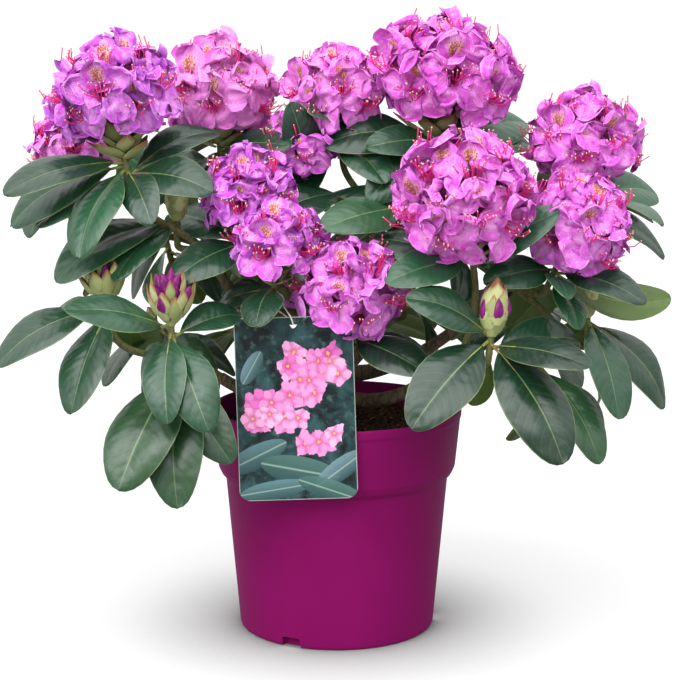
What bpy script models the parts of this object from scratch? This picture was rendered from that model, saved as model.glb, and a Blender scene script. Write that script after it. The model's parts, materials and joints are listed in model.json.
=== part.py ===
"""A potted evergreen flowering shrub, whole, with its planter and a hanging picture label.

Metres, +Z up, origin at the centre of the pot's flat underside, front of the plant toward -Y.
The plant is a short trunk, tapering boughs and masses of foliage. Each mass is one solid: a stem,
twigs, leaves and flower heads grown by a seeded rule and joined by one Boolean union.
"""
import math
import random

import bmesh
import bpy
from mathutils import Matrix, Vector
from mathutils.bvhtree import BVHTree

# Driving dimensions of the pot, a five litre moulded container
POT_HEIGHT = 0.201
POT_RIM_R = 0.1125
POT_LIP_HEIGHT = 0.007
POT_BAND_TOP_R = 0.1114
POT_BAND_FOOT_R = 0.1070
POT_BAND_FOOT = 0.148
POT_BODY_TOP_R = 0.1003
POT_BODY_TOP = 0.138
POT_BASE_R = 0.088
POT_WALL = 0.0024
POT_FLOOR = 0.003
POT_SIDES = 32
NOTCH_COUNT = 3
NOTCH_WIDTH = 0.019
NOTCH_HEIGHT = 0.0085
NOTCH_DEPTH = 0.0065
NOTCH_AZIMUTH = -117
SOIL_TOP = 0.184
SOIL_EDGE = 0.180
SOIL_SIDES = 20

# Driving dimensions of the trunk and boughs
TRUNK_TOP_R = 0.0090
TRUNK_TAPER = 0.0022
TRUNK_FLARE = 0.0086
TRUNK_RINGS = 6
TRUNK_SIDES = 12
ROOT_LOBES = 4
LIMB_RINGS = 6
LIMB_SIDES = 7

# Driving dimensions of twigs, leaves and flower heads. Shares without a unit are of the leaf's length,
# of its half width, of the flower's reach from the middle of its head, or of the head's radius.
STEM_R = 0.0042
TWIG_R = 0.0030
TWIG_RINGS = 5
LEAFY_END = 0.020
LEAF_LENGTH = 0.1
LEAF_WIDTH = 0.40
LEAF_THICK = 0.0013
LEAF_STALK = 0.0009
LEAF_SAG = 0.09
LEAF_ROWS = ((0.36, 0.80), (0.70, 0.92))
LEAF_FOLD = 0.10
LEAF_STEP = 0.0026
FACE_LINE_Y = 0.08
FACE_OUT = 0.9
SHOOT_FEET = {"head": 0.98, "opening": 1.6, "bud": 1.9, "leafy": 0}
HEAD_MIDDLE = 0.12
FLOWER_RIM = 0.95
FLOWER_TIP = 0.325
FLOWER_NOTCH = 0.27
FLOWER_THROAT = 0.66
CORE_R = 0.17
SMALL_HEAD_R = 0.0445
BUD_ROWS = ((0.25, 0.62), (0.45, 1.0), (0.72, 0.80))
BUD_SIDES = 6

# Driving dimensions of the label and its thread
LABEL_W = 0.1
LABEL_H = 0.155
LABEL_THICK = 0.001
LABEL_CORNER = 0.009
LABEL_HOLE_R = 0.0032
LABEL_TOP = Vector((-0.0365, -0.1049, 0.2985))
LABEL_BACK_LEAN = math.radians(4.9)
LABEL_ROLL = math.radians(-1.8)
HOLE_DROP = 0.0065
THREAD_R = 0.0007
THREAD_SIDES = 5
THREAD_BEND_R = 0.0045
THREAD_BELOW = 0.015
THREAD_OVER_LABEL = ((-0.0004, -0.0020, -0.0048), (-0.0016, -0.0024, -0.0008), (-0.0040, -0.0004, 0.0034))
THREAD_BEHIND_LABEL = (-0.0006, 0.0030, -0.0045)

GAP = 0.0003
CLEAR = 0.0006
UP = Vector((0, 0, 1))

COLOURS = {
    "pot": ((0.22, 0.010, 0.110), 0.42),
    "soil": ((0.020, 0.013, 0.009), 0.95),
    "bark": ((0.110, 0.085, 0.050), 0.80),
    "leaf": ((0.060, 0.150, 0.080), 0.42),
    "petal": ((0.730, 0.150, 0.600), 0.60),
    "bud": ((0.260, 0.010, 0.170), 0.50),
    "label": ((0.080, 0.220, 0.150), 0.35),
    "thread": ((0.800, 0.780, 0.740), 0.80),
}

# The trunk's foot, bend and top
TRUNK_POINTS = ((0, 0, 0.1843), (-0.002, 0.002, 0.205), (0.002, 0.001, 0.238))

# Boughs: name, then start inside the trunk, bend and tip, then first and last radius
LIMBS = (
    ("bough_centre", ((0.002, 0.001, 0.2383), (0.008, 0.008, 0.290), (0.022, 0.012, 0.345)),
     0.0075, 0.0052),
    ("bough_left_low", ((-0.002, 0.002, 0.203), (-0.050, -0.034, 0.210), (-0.100, -0.062, 0.238)),
     0.0072, 0.0050),
    ("bough_right_front", ((-0.001, 0.001, 0.208), (0.046, -0.042, 0.216), (0.088, -0.078, 0.248)),
     0.0072, 0.0050),
    ("bough_back", ((0.000, 0.001, 0.212), (0.006, 0.054, 0.232), (0.014, 0.104, 0.268)),
     0.0068, 0.0048),
    ("bough_front", ((0.000, 0.001, 0.222), (-0.014, -0.030, 0.240), (-0.024, -0.048, 0.276)),
     0.0064, 0.0046),
    ("bough_left_high", ((0.001, 0.001, 0.226), (-0.052, -0.014, 0.256), (-0.098, -0.030, 0.318)),
     0.0070, 0.0048),
    ("bough_right_high", ((0.001, 0.001, 0.229), (0.062, -0.010, 0.244), (0.124, -0.022, 0.290)),
     0.0070, 0.0048),
    ("bough_back_left", ((0.002, 0.001, 0.232), (-0.028, 0.040, 0.272), (-0.074, 0.068, 0.330)),
     0.0066, 0.0046),
    ("bough_back_right", ((0.002, 0.001, 0.232), (0.046, 0.048, 0.270), (0.092, 0.092, 0.332)),
     0.0066, 0.0046),
)

# Shoots of each mass. A shoot is: kind, centre of its head, radius of the head, lean of its axis,
# its leaves as (azimuth, pitch, size) in degrees and leaf lengths, and how many more the whorl rule adds.
OUT = None
MASSES = {
    "foliage_left_low": ("bough_left_low", (
        ("opening", (-0.137, -0.123, 0.321), 0.018, (0, -0.05),
         ((-145, 15, 1.0), (-90, -50, 0.85), (-60, -38, 0.95), (35, 10, 0.75), (130, -45, 0.7)), 0),
        ("opening", (-0.197, -0.076, 0.322), 0.012, (-0.15, 0.1),
         ((-150, -20, 1.1), (-110, -45, 1.05), (145, -12, 0.8), (70, -25, 0.9)), 0),
        ("leafy", (-0.136, -0.095, 0.252), 0.004, (-0.3, -0.3),
         ((-120, -44, 1.2), (-88, -55, 1.2), (-44, -45, 0.92)), 0),
        ("leafy", (-0.165, 0.030, 0.270), 0.004, (-0.5, 0.2), (), 5),
    )),
    "foliage_left_high": ("bough_left_high", (
        ("head", (-0.187, -0.060, 0.478), 0.055, (-0.14, 0),
         ((-150, -10, 1.1), (-175, -25, 1.1), (-116, -40, 1.0), (-66, -32, 0.7), (-30, -5, 0.85),
          (24, 25, 0.9)), 1),
        ("head", (-0.261, 0.030, 0.437), 0.043, (-0.30, 0.1),
         ((-104, -25, 0.8), (150, -30, 0.7), (70, -20, 0.9)), 0),
        ("bud", (-0.138, -0.040, 0.393), 0.011, (0, 0),
         ((-150, -20, 1.2), (-130, -26, 0.85), (140, -48, 0.9), (50, -30, 0.9)), 0),
    )),
    "foliage_back_left": ("bough_back_left", (
        ("head", (-0.105, 0.040, 0.482), 0.055, (0, 0.05),
         ((-38, 6, 0.92), (-62, -8, 0.7), (46, 30, 0.9), (-105, -5, 0.6), (150, -10, 0.9)), 1),
        ("head", (-0.107, 0.150, 0.474), 0.044, OUT, (), 5),
        ("head", (-0.215, 0.130, 0.463), 0.044, OUT, (), 5),
        ("leafy", (-0.165, 0.150, 0.330), 0.004, OUT, (), 6),
    )),
    "foliage_centre_top": ("bough_centre", (
        ("head", (0.095, 0.010, 0.501), 0.065, (0.08, -0.05),
         ((-141, 0, 0.8), (-162, 10, 1.05), (31, 20, 1.0), (22, 2, 0.95), (-46, 4, 0.7),
          (-135, -20, 0.9)), 1),
        ("head", (-0.001, 0.020, 0.482), 0.046, (-0.1, 0), ((-118, 30, 0.6), (-60, -12, 0.8)), 3),
        ("head", (-0.032, 0.010, 0.431), 0.036, (-0.35, -0.25), ((-112, 58, 0.85), (-150, 5, 0.75)), 2),
        ("leafy", (0.057, -0.020, 0.382), 0.004, (0.1, -0.5), ((-135, -5, 0.95), (-40, -25, 0.8)), 2),
    )),
    "foliage_front": ("bough_front", (
        ("head", (-0.076, -0.062, 0.403), 0.044, (-0.05, -0.2),
         ((28, 20, 0.95), (162, -5, 0.95), (-140, 0, 0.85), (100, 0, 0.8)), 0),
        ("head", (-0.050, -0.087, 0.361), 0.043, (0.05, -0.25), ((-101, -16, 0.75), (145, -20, 0.75)), 0),
        ("head", (0.011, -0.087, 0.321), 0.048, (0, -0.3),
         ((-42, -13, 0.92), (15, -35, 0.85), (160, -30, 0.7)), 0),
    )),
    "foliage_right_front": ("bough_right_front", (
        ("head", (0.106, -0.110, 0.401), 0.060, (-0.15, -0.35),
         ((-149, -8, 0.85), (160, 10, 1.0), (-18, 42, 0.85), (60, 0, 0.9)), 0),
        ("bud", (0.131, -0.118, 0.309), 0.013, (0.1, 0),
         ((-155, 28, 0.85), (-138, -34, 1.08), (-55, -40, 1.25), (-38, -2, 0.95), (32, 0, 0.95),
          (105, -48, 0.7)), 0),
        ("leafy", (0.175, -0.072, 0.250), 0.004, (0.5, 0), ((-48, -45, 1.0), (110, -55, 0.9)), 1),
    )),
    "foliage_right_high": ("bough_right_high", (
        ("head", (0.217, 0.000, 0.441), 0.053, (0.05, 0),
         ((30, 0, 0.9), (-45, -8, 0.9), (110, -10, 0.9), (-150, -10, 0.7)), 1),
        ("head", (0.205, -0.070, 0.376), 0.048, (0.4, -0.2),
         ((-142, -2, 0.8), (-36, -3, 0.88), (14, -16, 1.1), (-84, -6, 0.62), (-68, -34, 0.6),
          (110, -34, 0.9)), 0),
        ("bud", (0.218, -0.045, 0.307), 0.010, (0, 0),
         ((-74, -45, 1.04), (4, -46, 1.06), (62, -65, 0.9), (107, -32, 0.6)), 0),
        ("leafy", (0.190, 0.060, 0.280), 0.004, (0.5, 0.2), (), 5),
    )),
    "foliage_back_right": ("bough_back_right", (
        ("head", (0.103, 0.140, 0.488), 0.052, OUT, (), 5),
        ("head", (0.235, 0.125, 0.430), 0.043, OUT, (), 5),
        ("head", (0.125, 0.180, 0.373), 0.048, OUT, (), 5),
        ("leafy", (0.180, 0.165, 0.290), 0.004, OUT, (), 6),
    )),
    "foliage_back": ("bough_back", (
        ("head", (0.015, 0.195, 0.300), 0.043, OUT, (), 6),
        ("head", (-0.072, 0.160, 0.362), 0.044, OUT, (), 6),
        ("bud", (0.070, 0.150, 0.300), 0.011, OUT, (), 5),
        ("leafy", (-0.095, 0.140, 0.250), 0.004, OUT, (), 6),
    )),
}


def clear_scene():
    """Start from an empty scene."""
    for old in list(bpy.data.objects):
        bpy.data.objects.remove(old, do_unlink=True)


def make_material(name, kind):
    """A plain Principled material in one of the object's colours."""
    colour, roughness = COLOURS[kind]
    material = bpy.data.materials.new(name)
    material.use_nodes = True
    shader = material.node_tree.nodes["Principled BSDF"]
    shader.inputs["Base Color"].default_value = (*colour, 1)
    shader.inputs["Roughness"].default_value = roughness
    shader.inputs["Metallic"].default_value = 0
    material.diffuse_color = (*colour, 1)
    return material


def shade_round(mesh):
    """Smooth shading, with edges sharper than 35 degrees kept sharp."""
    mesh.shade_smooth()
    mesh.set_sharp_from_angle(angle=math.radians(35))


def remove_objects(things):
    """Remove guides and pieces that have done their work."""
    for thing in things:
        bpy.data.objects.remove(thing, do_unlink=True)


def make_object(name, shape, materials, smooth=False):
    """Link a mesh object made from a shape, which is a list of points and a list of faces."""
    mesh = bpy.data.meshes.new(name)
    mesh.from_pydata([tuple(p) for p in shape[0]], [], shape[1])
    for material in materials:
        mesh.materials.append(material)
    if smooth:
        shade_round(mesh)
    thing = bpy.data.objects.new(name, mesh)
    bpy.context.scene.collection.objects.link(thing)
    return thing


def apply_modifiers(thing):
    """Keep the evaluated mesh and drop the modifiers."""
    graph = bpy.context.evaluated_depsgraph_get()
    mesh = bpy.data.meshes.new_from_object(thing.evaluated_get(graph))
    thing.modifiers.clear()
    thing.data = mesh


def turned(profile, sides):
    """A closed solid of revolution. Its profile runs from the axis at the bottom out and back to the axis."""
    inner = [p for p in profile if p[0] > 1e-9]
    points = [Vector((0, 0, profile[0][1]))]
    for radius, z in inner:
        points += [Vector((radius * math.cos(a), radius * math.sin(a), z))
                   for a in (2 * math.pi * k / sides for k in range(sides))]
    points.append(Vector((0, 0, profile[-1][1])))
    faces = []
    for k in range(sides):
        j = (k + 1) % sides
        faces.append((0, 1 + j, 1 + k))
        for row in range(len(inner) - 1):
            a, b = 1 + row * sides, 1 + (row + 1) * sides
            faces.append((a + k, a + j, b + j, b + k))
        last = 1 + (len(inner) - 1) * sides
        faces.append((last + k, last + j, len(points) - 1))
    return points, faces


def smooth_route(points, steps):
    """Points along a quadratic curve through start, bend and end."""
    start, bend, end = (Vector(p) for p in points)
    pull = 2 * bend - (start + end) / 2
    route = []
    for k in range(steps + 1):
        t = k / steps
        route.append(start * (1 - t) ** 2 + pull * 2 * t * (1 - t) + end * t ** 2)
    return route


def tube(route, radii, sides, ends=None):
    """A closed tube along a route. ends may give the plane normals of its two flat ends."""
    points, faces = [], []
    count = len(route)
    side = None
    for i, centre in enumerate(route):
        ahead = (route[min(i + 1, count - 1)] - route[max(i - 1, 0)]).normalized()
        if ends and i in (0, count - 1) and ends[0 if i == 0 else 1]:
            ahead = Vector(ends[0 if i == 0 else 1]).normalized()
        if side is None:
            side = ahead.orthogonal()
        side = (side - ahead * side.dot(ahead)).normalized()
        other = ahead.cross(side)
        for k in range(sides):
            angle = 2 * math.pi * k / sides
            points.append(centre + (side * math.cos(angle) + other * math.sin(angle)) * radii[i])
    for i in range(count - 1):
        a, b = i * sides, (i + 1) * sides
        for k in range(sides):
            j = (k + 1) % sides
            faces.append((a + k, a + j, b + j, b + k))
    faces.append(tuple(reversed(range(sides))))
    faces.append(tuple(range((count - 1) * sides, count * sides)))
    return points, faces


def taper(first, last, count):
    """Radii that run evenly from first to last."""
    return [first + (last - first) * i / (count - 1) for i in range(count)]


def direction(azimuth, pitch):
    """Unit vector at an azimuth from +X toward +Y and a pitch above level, both in degrees."""
    a, p = math.radians(azimuth), math.radians(pitch)
    return Vector((math.cos(a) * math.cos(p), math.sin(a) * math.cos(p), math.sin(p)))


def leaf(root, azimuth, pitch, length, grow=0.0, first=0.0):
    """A drooping elliptic leaf on its stalk, folded a little along the midrib. It may start part way along.

    Its upper face turns up and outward to the light, away from a line behind the middle of the plant.
    """
    along = direction(azimuth, pitch)
    outward = Vector((root.x * 0.5, root.y - FACE_LINE_Y, 0)).normalized()
    normal = UP + outward * FACE_OUT
    normal = (normal - along * normal.dot(along)).normalized()
    across = normal.cross(along)
    half = length * LEAF_WIDTH / 2
    thick = LEAF_THICK / 2 + grow
    stalk = LEAF_STALK + grow

    def spot(t, sideways, lift):
        sag = LEAF_SAG * length * math.sin(math.pi * t)
        return root + along * (length * t) + across * sideways + normal * (sag + lift)

    points = [spot(first, 0, stalk), spot(first, -stalk, -stalk), spot(first, stalk, -stalk)]
    for t, wide in LEAF_ROWS:
        wide = wide * half + grow
        dip, lift = -0.5 * LEAF_FOLD * wide, LEAF_FOLD * wide
        points += [spot(t, 0, dip + thick), spot(t, -wide, lift),
                   spot(t, 0, dip - thick), spot(t, wide, lift)]
    points.append(spot(1 + grow / length, 0, 0))
    faces = [(2, 1, 0), (4, 3, 0), (1, 4, 0), (5, 4, 1), (2, 5, 1), (6, 5, 2), (0, 6, 2), (3, 6, 0)]
    for r in range(len(LEAF_ROWS) - 1):
        a, b = 3 + 4 * r, 7 + 4 * r
        for k in range(4):
            j = (k + 1) % 4
            faces.append((a + j, b + k, a + k))
            faces.append((b + j, b + k, a + j))
    last, tip = 4 * len(LEAF_ROWS) - 1, 3 + 4 * len(LEAF_ROWS)
    faces += [(last + (k + 1) % 4, tip, last + k) for k in range(4)]
    return points, faces


def head_directions(axis, turn):
    """Corners and faces of an icosahedron about a head's axis. Each face may carry one flower."""
    side = axis.orthogonal().normalized()
    other = axis.cross(side)
    high, wide = 1 / math.sqrt(5), 2 / math.sqrt(5)
    corners = [axis]
    for row, start in ((1, 0), (-1, 36)):
        for k in range(5):
            angle = turn + math.radians(start + 72 * k)
            flat = side * math.cos(angle) + other * math.sin(angle)
            corners.append(axis * (row * high) + flat * wide)
    corners.append(-axis)
    faces = []
    for k in range(5):
        a, b, c, d = 1 + k, 1 + (k + 1) % 5, 6 + k, 6 + (k + 1) % 5
        faces += [(0, a, b), (a, c, b), (b, c, d), (11, d, c)]
    return corners, faces


def flower_rim(centre, axis, reach, turn, grow=0.0):
    """The five lobes' tips and notches and the throat of one funnel flower."""
    side = axis.orthogonal().normalized()
    other = axis.cross(side)
    rim = []
    for k in range(10):
        angle = turn + math.pi * k / 5
        wide, up = (FLOWER_TIP, FLOWER_RIM - 0.02) if k % 2 == 0 else (FLOWER_NOTCH, FLOWER_RIM + 0.01)
        spread = side * math.cos(angle) + other * math.sin(angle)
        rim.append(centre + axis * (up * reach + grow) + spread * (wide * reach + grow))
    return rim, centre + axis * (FLOWER_THROAT * reach + grow)


def flower(centre, axis, reach, turn, grow=0.0):
    """One flower alone, from the middle of its head, to test where it may stand."""
    rim, throat = flower_rim(centre, axis, reach, turn, grow)
    faces = []
    for k in range(10):
        a, b = 2 + k, 2 + (k + 1) % 10
        faces += [(0, b, a), (1, a, b)]
    return [centre, throat, *rim], faces


def flower_head(centre, axis, radius, turn, allowed):
    """A head of funnel flowers on a small core, as one closed shape without any overlap.

    A large head carries a third row of flowers below its middle.
    """
    lowest = -0.3 if radius > SMALL_HEAD_R else 0
    corners, faces = head_directions(axis, turn)
    points = [centre + corner * radius * CORE_R for corner in corners]
    solid = []
    for face in faces:
        out = sum((corners[i] for i in face), Vector()).normalized()
        chosen = allowed(out) if out.dot(axis) > lowest else None
        if chosen is None:
            solid.append(face)
            continue
        reach, spin = chosen
        rim, throat = flower_rim(centre, out, reach, spin)
        first = len(points)
        points += [*rim, throat]
        solid += bridge(points, list(face), list(range(first, first + 10)), centre, out)
        solid += [(first + 10, first + k, first + (k + 1) % 10) for k in range(10)]
    return points, solid


def bridge(points, small, large, centre, axis):
    """Triangles between a ring of three points and a ring of ten round one axis."""
    side = axis.orthogonal().normalized()
    other = axis.cross(side)

    def angle(i):
        spoke = points[i] - centre
        return math.atan2(spoke.dot(other), spoke.dot(side)) % (2 * math.pi)

    small, large = sorted(small, key=angle), sorted(large, key=angle)
    marks = [(angle(i), 0, n) for n, i in enumerate(small)] + [(angle(i), 1, n) for n, i in enumerate(large)]
    a, b = len(small) - 1, len(large) - 1
    faces = []
    for _, ring, n in sorted(marks):
        if ring == 0:
            faces.append((small[a], small[n], large[b]))
            a = n
        else:
            faces.append((small[a], large[n], large[b]))
            b = n
    return faces


def bud(root, axis, radius, length):
    """A plump pointed bud."""
    route = [root, *(root + axis * (length * t) for t, _ in BUD_ROWS)]
    points, faces = tube(route, [radius * 0.35, *(radius * wide for _, wide in BUD_ROWS)], BUD_SIDES)
    points.append(root + axis * length)
    faces.pop()
    last = len(points) - 1 - BUD_SIDES
    faces += [(last + k, last + (k + 1) % BUD_SIDES, len(points) - 1) for k in range(BUD_SIDES)]
    return points, faces


def shoot_axis(centre, lean):
    """Direction in which a shoot's end points, leaning outward where no lean is given."""
    if lean is None:
        flat = Vector((centre.x, centre.y, 0))
        lean = flat.normalized() * min(0.45, flat.length * 1.6)
    return Vector((lean[0], lean[1], 1)).normalized()


def bounds(points, margin=CLEAR):
    """Lowest and highest corner of a list of points, with a margin."""
    low = [min(p[i] for p in points) - margin for i in range(3)]
    high = [max(p[i] for p in points) + margin for i in range(3)]
    return low, high


class Space:
    """What is already placed, so that each new piece keeps clear of the other nodes."""

    def __init__(self):
        self.placed = []

    def add(self, owner, shape, own=False):
        """Note a shape. own says that the leaves and flowers of its own node keep off it too."""
        self.placed.append((owner, own, bounds(shape[0]), BVHTree.FromPolygons(shape[0], shape[1])))

    def blocked(self, owner, shape, own=False):
        """The node that a shape would meet, or None. own counts its own node's leaves and heads."""
        low, high = bounds(shape[0])
        tree = BVHTree.FromPolygons(shape[0], shape[1])
        for other, keep_off, (other_low, other_high), other_tree in self.placed:
            if other == owner and not (own and keep_off):
                continue
            if any(low[i] > other_high[i] or other_low[i] > high[i] for i in range(3)):
                continue
            if tree.overlap(other_tree):
                return other
        return None


def pot_profile():
    """Outside, rim and inside of the pot, from the underside's centre round to the floor's centre."""
    step_wide, step_high = POT_BAND_FOOT_R - POT_BODY_TOP_R, POT_BAND_FOOT - POT_BODY_TOP
    step = [(POT_BODY_TOP_R + step_wide * math.sin(a), POT_BODY_TOP + step_high * (1 - math.cos(a)))
            for a in (0, math.pi / 4, math.pi / 2)]
    lip_foot = POT_HEIGHT - POT_LIP_HEIGHT
    outside = [(0, 0), (POT_BASE_R - 0.0018, 0), (POT_BASE_R, 0.0020), *step,
               (POT_BAND_FOOT_R + 0.0002, POT_BAND_FOOT + 0.002), (POT_BAND_TOP_R, lip_foot - 0.002),
               (POT_RIM_R, lip_foot), (POT_RIM_R, POT_HEIGHT - 0.0012), (POT_RIM_R - 0.001, POT_HEIGHT)]
    inside = [(POT_RIM_R - 0.0025, POT_HEIGHT), (POT_BAND_TOP_R - POT_WALL, POT_HEIGHT - 0.003),
              (POT_BAND_FOOT_R - POT_WALL, POT_BAND_FOOT + 0.001),
              (POT_BODY_TOP_R - POT_WALL, POT_BODY_TOP - 0.001),
              (POT_BASE_R - POT_WALL, POT_FLOOR), (0, POT_FLOOR)]
    return outside + inside


def foot_block(azimuth, inner, outer, wide, low, high):
    """A block across the foot of the pot's wall, which narrows upward."""
    turn = Matrix.Rotation(math.radians(azimuth), 3, "Z")
    points = []
    for z, half in ((low, wide / 2), (high, wide / 2 - 0.0015)):
        corners = ((inner, -half), (outer, -half), (outer, half), (inner, half))
        points += [turn @ Vector((x, y, z)) for x, y in corners]
    return points, [(3, 2, 1, 0), (4, 5, 6, 7), (0, 1, 5, 4), (1, 2, 6, 5), (2, 3, 7, 6), (3, 0, 4, 7)]


def add_boolean(thing, tool, operation):
    """Give an object an exact Boolean with one tool object, which stays a hidden wire guide."""
    modifier = thing.modifiers.new(operation.lower(), "BOOLEAN")
    modifier.operation = operation
    modifier.object = tool
    modifier.solver = "EXACT"
    tool.hide_render = True
    tool.display_type = "WIRE"


def make_pot():
    """The moulded pot. Each drain notch is cut into a boss that keeps the wall whole behind it."""
    pot = make_object("pot", turned(pot_profile(), POT_SIDES), [make_material("pot_plastic", "pot")])
    guides = []
    for k in range(NOTCH_COUNT):
        azimuth = NOTCH_AZIMUTH + 360 * k / NOTCH_COUNT
        notch_back = POT_BASE_R - NOTCH_DEPTH
        boss = foot_block(azimuth, notch_back - 0.002, POT_BASE_R - 0.0015, NOTCH_WIDTH + 0.004,
                          0.001, NOTCH_HEIGHT + 0.002)
        cut = foot_block(azimuth, notch_back, POT_BASE_R + 0.006, NOTCH_WIDTH, -0.001, NOTCH_HEIGHT)
        guides += [make_object(f"guide_boss_{k}", boss, []), make_object(f"guide_notch_{k}", cut, [])]
        add_boolean(pot, guides[-2], "UNION")
        add_boolean(pot, guides[-1], "DIFFERENCE")
    apply_modifiers(pot)
    shade_round(pot.data)
    remove_objects(guides)


def soil_profile():
    """The root ball and soil that fill the pot, a hair clear of its wall, from the bottom up."""
    clear = 0.0012
    shelf = POT_BASE_R - NOTCH_DEPTH - 0.0030
    above_boss = NOTCH_HEIGHT + 0.003
    return [(0, POT_FLOOR + GAP), (shelf, POT_FLOOR + GAP), (shelf, above_boss),
            (POT_BASE_R - POT_WALL - 0.0004, above_boss + 0.0035),
            (POT_BODY_TOP_R - POT_WALL - clear, POT_BODY_TOP), (POT_BAND_FOOT_R - POT_WALL - clear, 0.151),
            (POT_BAND_TOP_R - POT_WALL - 0.003, SOIL_EDGE - 0.002),
            (POT_BAND_TOP_R - POT_WALL - 0.004, SOIL_EDGE),
            (0.080, SOIL_EDGE + 0.003), (0.035, SOIL_TOP), (0, SOIL_TOP)]


def trunk_shape(grow=0.0):
    """The short trunk with its root flare, from a flat foot on the soil to the fork."""
    route = smooth_route(TRUNK_POINTS, TRUNK_RINGS)
    route[0].z -= grow
    route[-1].z += grow
    radii = []
    for k in range(TRUNK_RINGS + 1):
        down = 1 - k / TRUNK_RINGS
        radii.append(TRUNK_TOP_R + TRUNK_TAPER * down + TRUNK_FLARE * math.exp(5 * (down - 1)) + grow)
    points, faces = tube(route, radii, TRUNK_SIDES, ends=(UP, UP))
    for i, point in enumerate(points):
        ring, side = divmod(i, TRUNK_SIDES)
        swell = 0.16 * math.exp(-1.2 * ring) * math.cos(2 * math.pi * side * ROOT_LOBES / TRUNK_SIDES)
        point.xy = route[ring].xy + (point.xy - route[ring].xy) * (1 + swell)
    return points, faces


def limb_shape(points, first, last, grow=0.0):
    """One tapering bough."""
    route = smooth_route(points, LIMB_RINGS)
    if grow:
        route[-1] = route[-1] + (route[-1] - route[-2]).normalized() * grow
    return tube(route, [r + grow for r in taper(first, last, LIMB_RINGS + 1)], LIMB_SIDES)


def shells_of(fresh):
    """Groups of faces that are joined edge to edge, the largest first."""
    left = set(fresh.faces)
    shells = []
    while left:
        shell = {left.pop()}
        edge_of = list(shell)
        while edge_of:
            for edge in edge_of.pop().edges:
                near = left.intersection(edge.link_faces) if len(edge.link_faces) == 2 else set()
                left -= near
                shell |= near
                edge_of += near
        shells.append(shell)
    return sorted(shells, key=lambda shell: -sum(face.calc_area() for face in shell))


def keep_one_shell(mesh):
    """Drop the loose scraps and sealed hollows that joining leaves behind."""
    fresh = bmesh.new()
    fresh.from_mesh(mesh)
    bmesh.ops.triangulate(fresh, faces=[face for face in fresh.faces if len(face.verts) > 4])
    scraps = [face for shell in shells_of(fresh)[1:] for face in shell]
    if scraps:
        print("scraps dropped from", mesh.name, len(scraps))
        bmesh.ops.delete(fresh, geom=scraps, context="FACES")
    fresh.to_mesh(mesh)
    fresh.free()


def make_limbs(space):
    """Trunk and boughs. Each bough is cut a hair clear of the trunk and of the boughs before it."""
    make_object("trunk", trunk_shape(), [make_material("trunk_bark", "bark")], smooth=True)
    space.add("trunk", trunk_shape())
    guides = [make_object("guide_trunk", trunk_shape(GAP), [])]
    for name, points, first, last in LIMBS:
        bough = make_object(name, limb_shape(points, first, last), [make_material(name + "_bark", "bark")])
        for guide in guides:
            add_boolean(bough, guide, "DIFFERENCE")
        apply_modifiers(bough)
        keep_one_shell(bough.data)
        shade_round(bough.data)
        space.add(name, limb_shape(points, first, last))
        guides.append(make_object("guide_" + name, limb_shape(points, first, last, GAP), []))
    remove_objects(guides)


def label_frame():
    """Matrix that carries the label's own X across, Y through and Z up to its place on the pot's rim."""
    return (Matrix.Translation(LABEL_TOP) @ Matrix.Rotation(LABEL_ROLL, 4, "Y")
            @ Matrix.Rotation(-LABEL_BACK_LEAN, 4, "X"))


def make_label(space):
    """The picture label, with rounded corners and a hole for its thread."""
    outline = []
    for cx, cz, start in ((1, 0, 0), (-1, 0, 90), (-1, -1, 180), (1, -1, 270)):
        centre = (cx * (LABEL_W / 2 - LABEL_CORNER), -LABEL_CORNER if cz == 0 else LABEL_CORNER - LABEL_H)
        for k in range(4):
            angle = math.radians(start + 30 * k)
            outline.append((centre[0] + LABEL_CORNER * math.cos(angle),
                            centre[1] + LABEL_CORNER * math.sin(angle)))
    count = len(outline)
    points = [Vector((x, y, z)) for y in (-LABEL_THICK / 2, LABEL_THICK / 2) for x, z in outline]
    faces = [tuple(range(count)), tuple(reversed(range(count, 2 * count)))]
    faces += [(k, count + k, count + (k + 1) % count, (k + 1) % count) for k in range(count)]
    label = make_object("label", (points, faces), [make_material("label_card", "label")])
    hole = [Vector((0, -0.01, -HOLE_DROP)), Vector((0, 0.01, -HOLE_DROP))]
    cutter = make_object("guide_hole", tube(hole, [LABEL_HOLE_R, LABEL_HOLE_R], 12), [])
    add_boolean(label, cutter, "DIFFERENCE")
    apply_modifiers(label)
    remove_objects([cutter])
    place = label_frame()
    label.data.transform(place)
    space.add("label", ([place @ p for p in points], faces))


def closed_route(knots, steps):
    """A smooth closed route through a ring of points."""
    route = []
    count = len(knots)
    for i in range(count):
        a, b, c, d = (knots[(i + n) % count] for n in (-1, 0, 1, 2))
        for k in range(steps):
            t = k / steps
            route.append(0.5 * (2 * b + (c - a) * t + (2 * a - 5 * b + 4 * c - d) * t * t
                                + (3 * b - a - 3 * c + d) * t ** 3))
    return route


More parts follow.
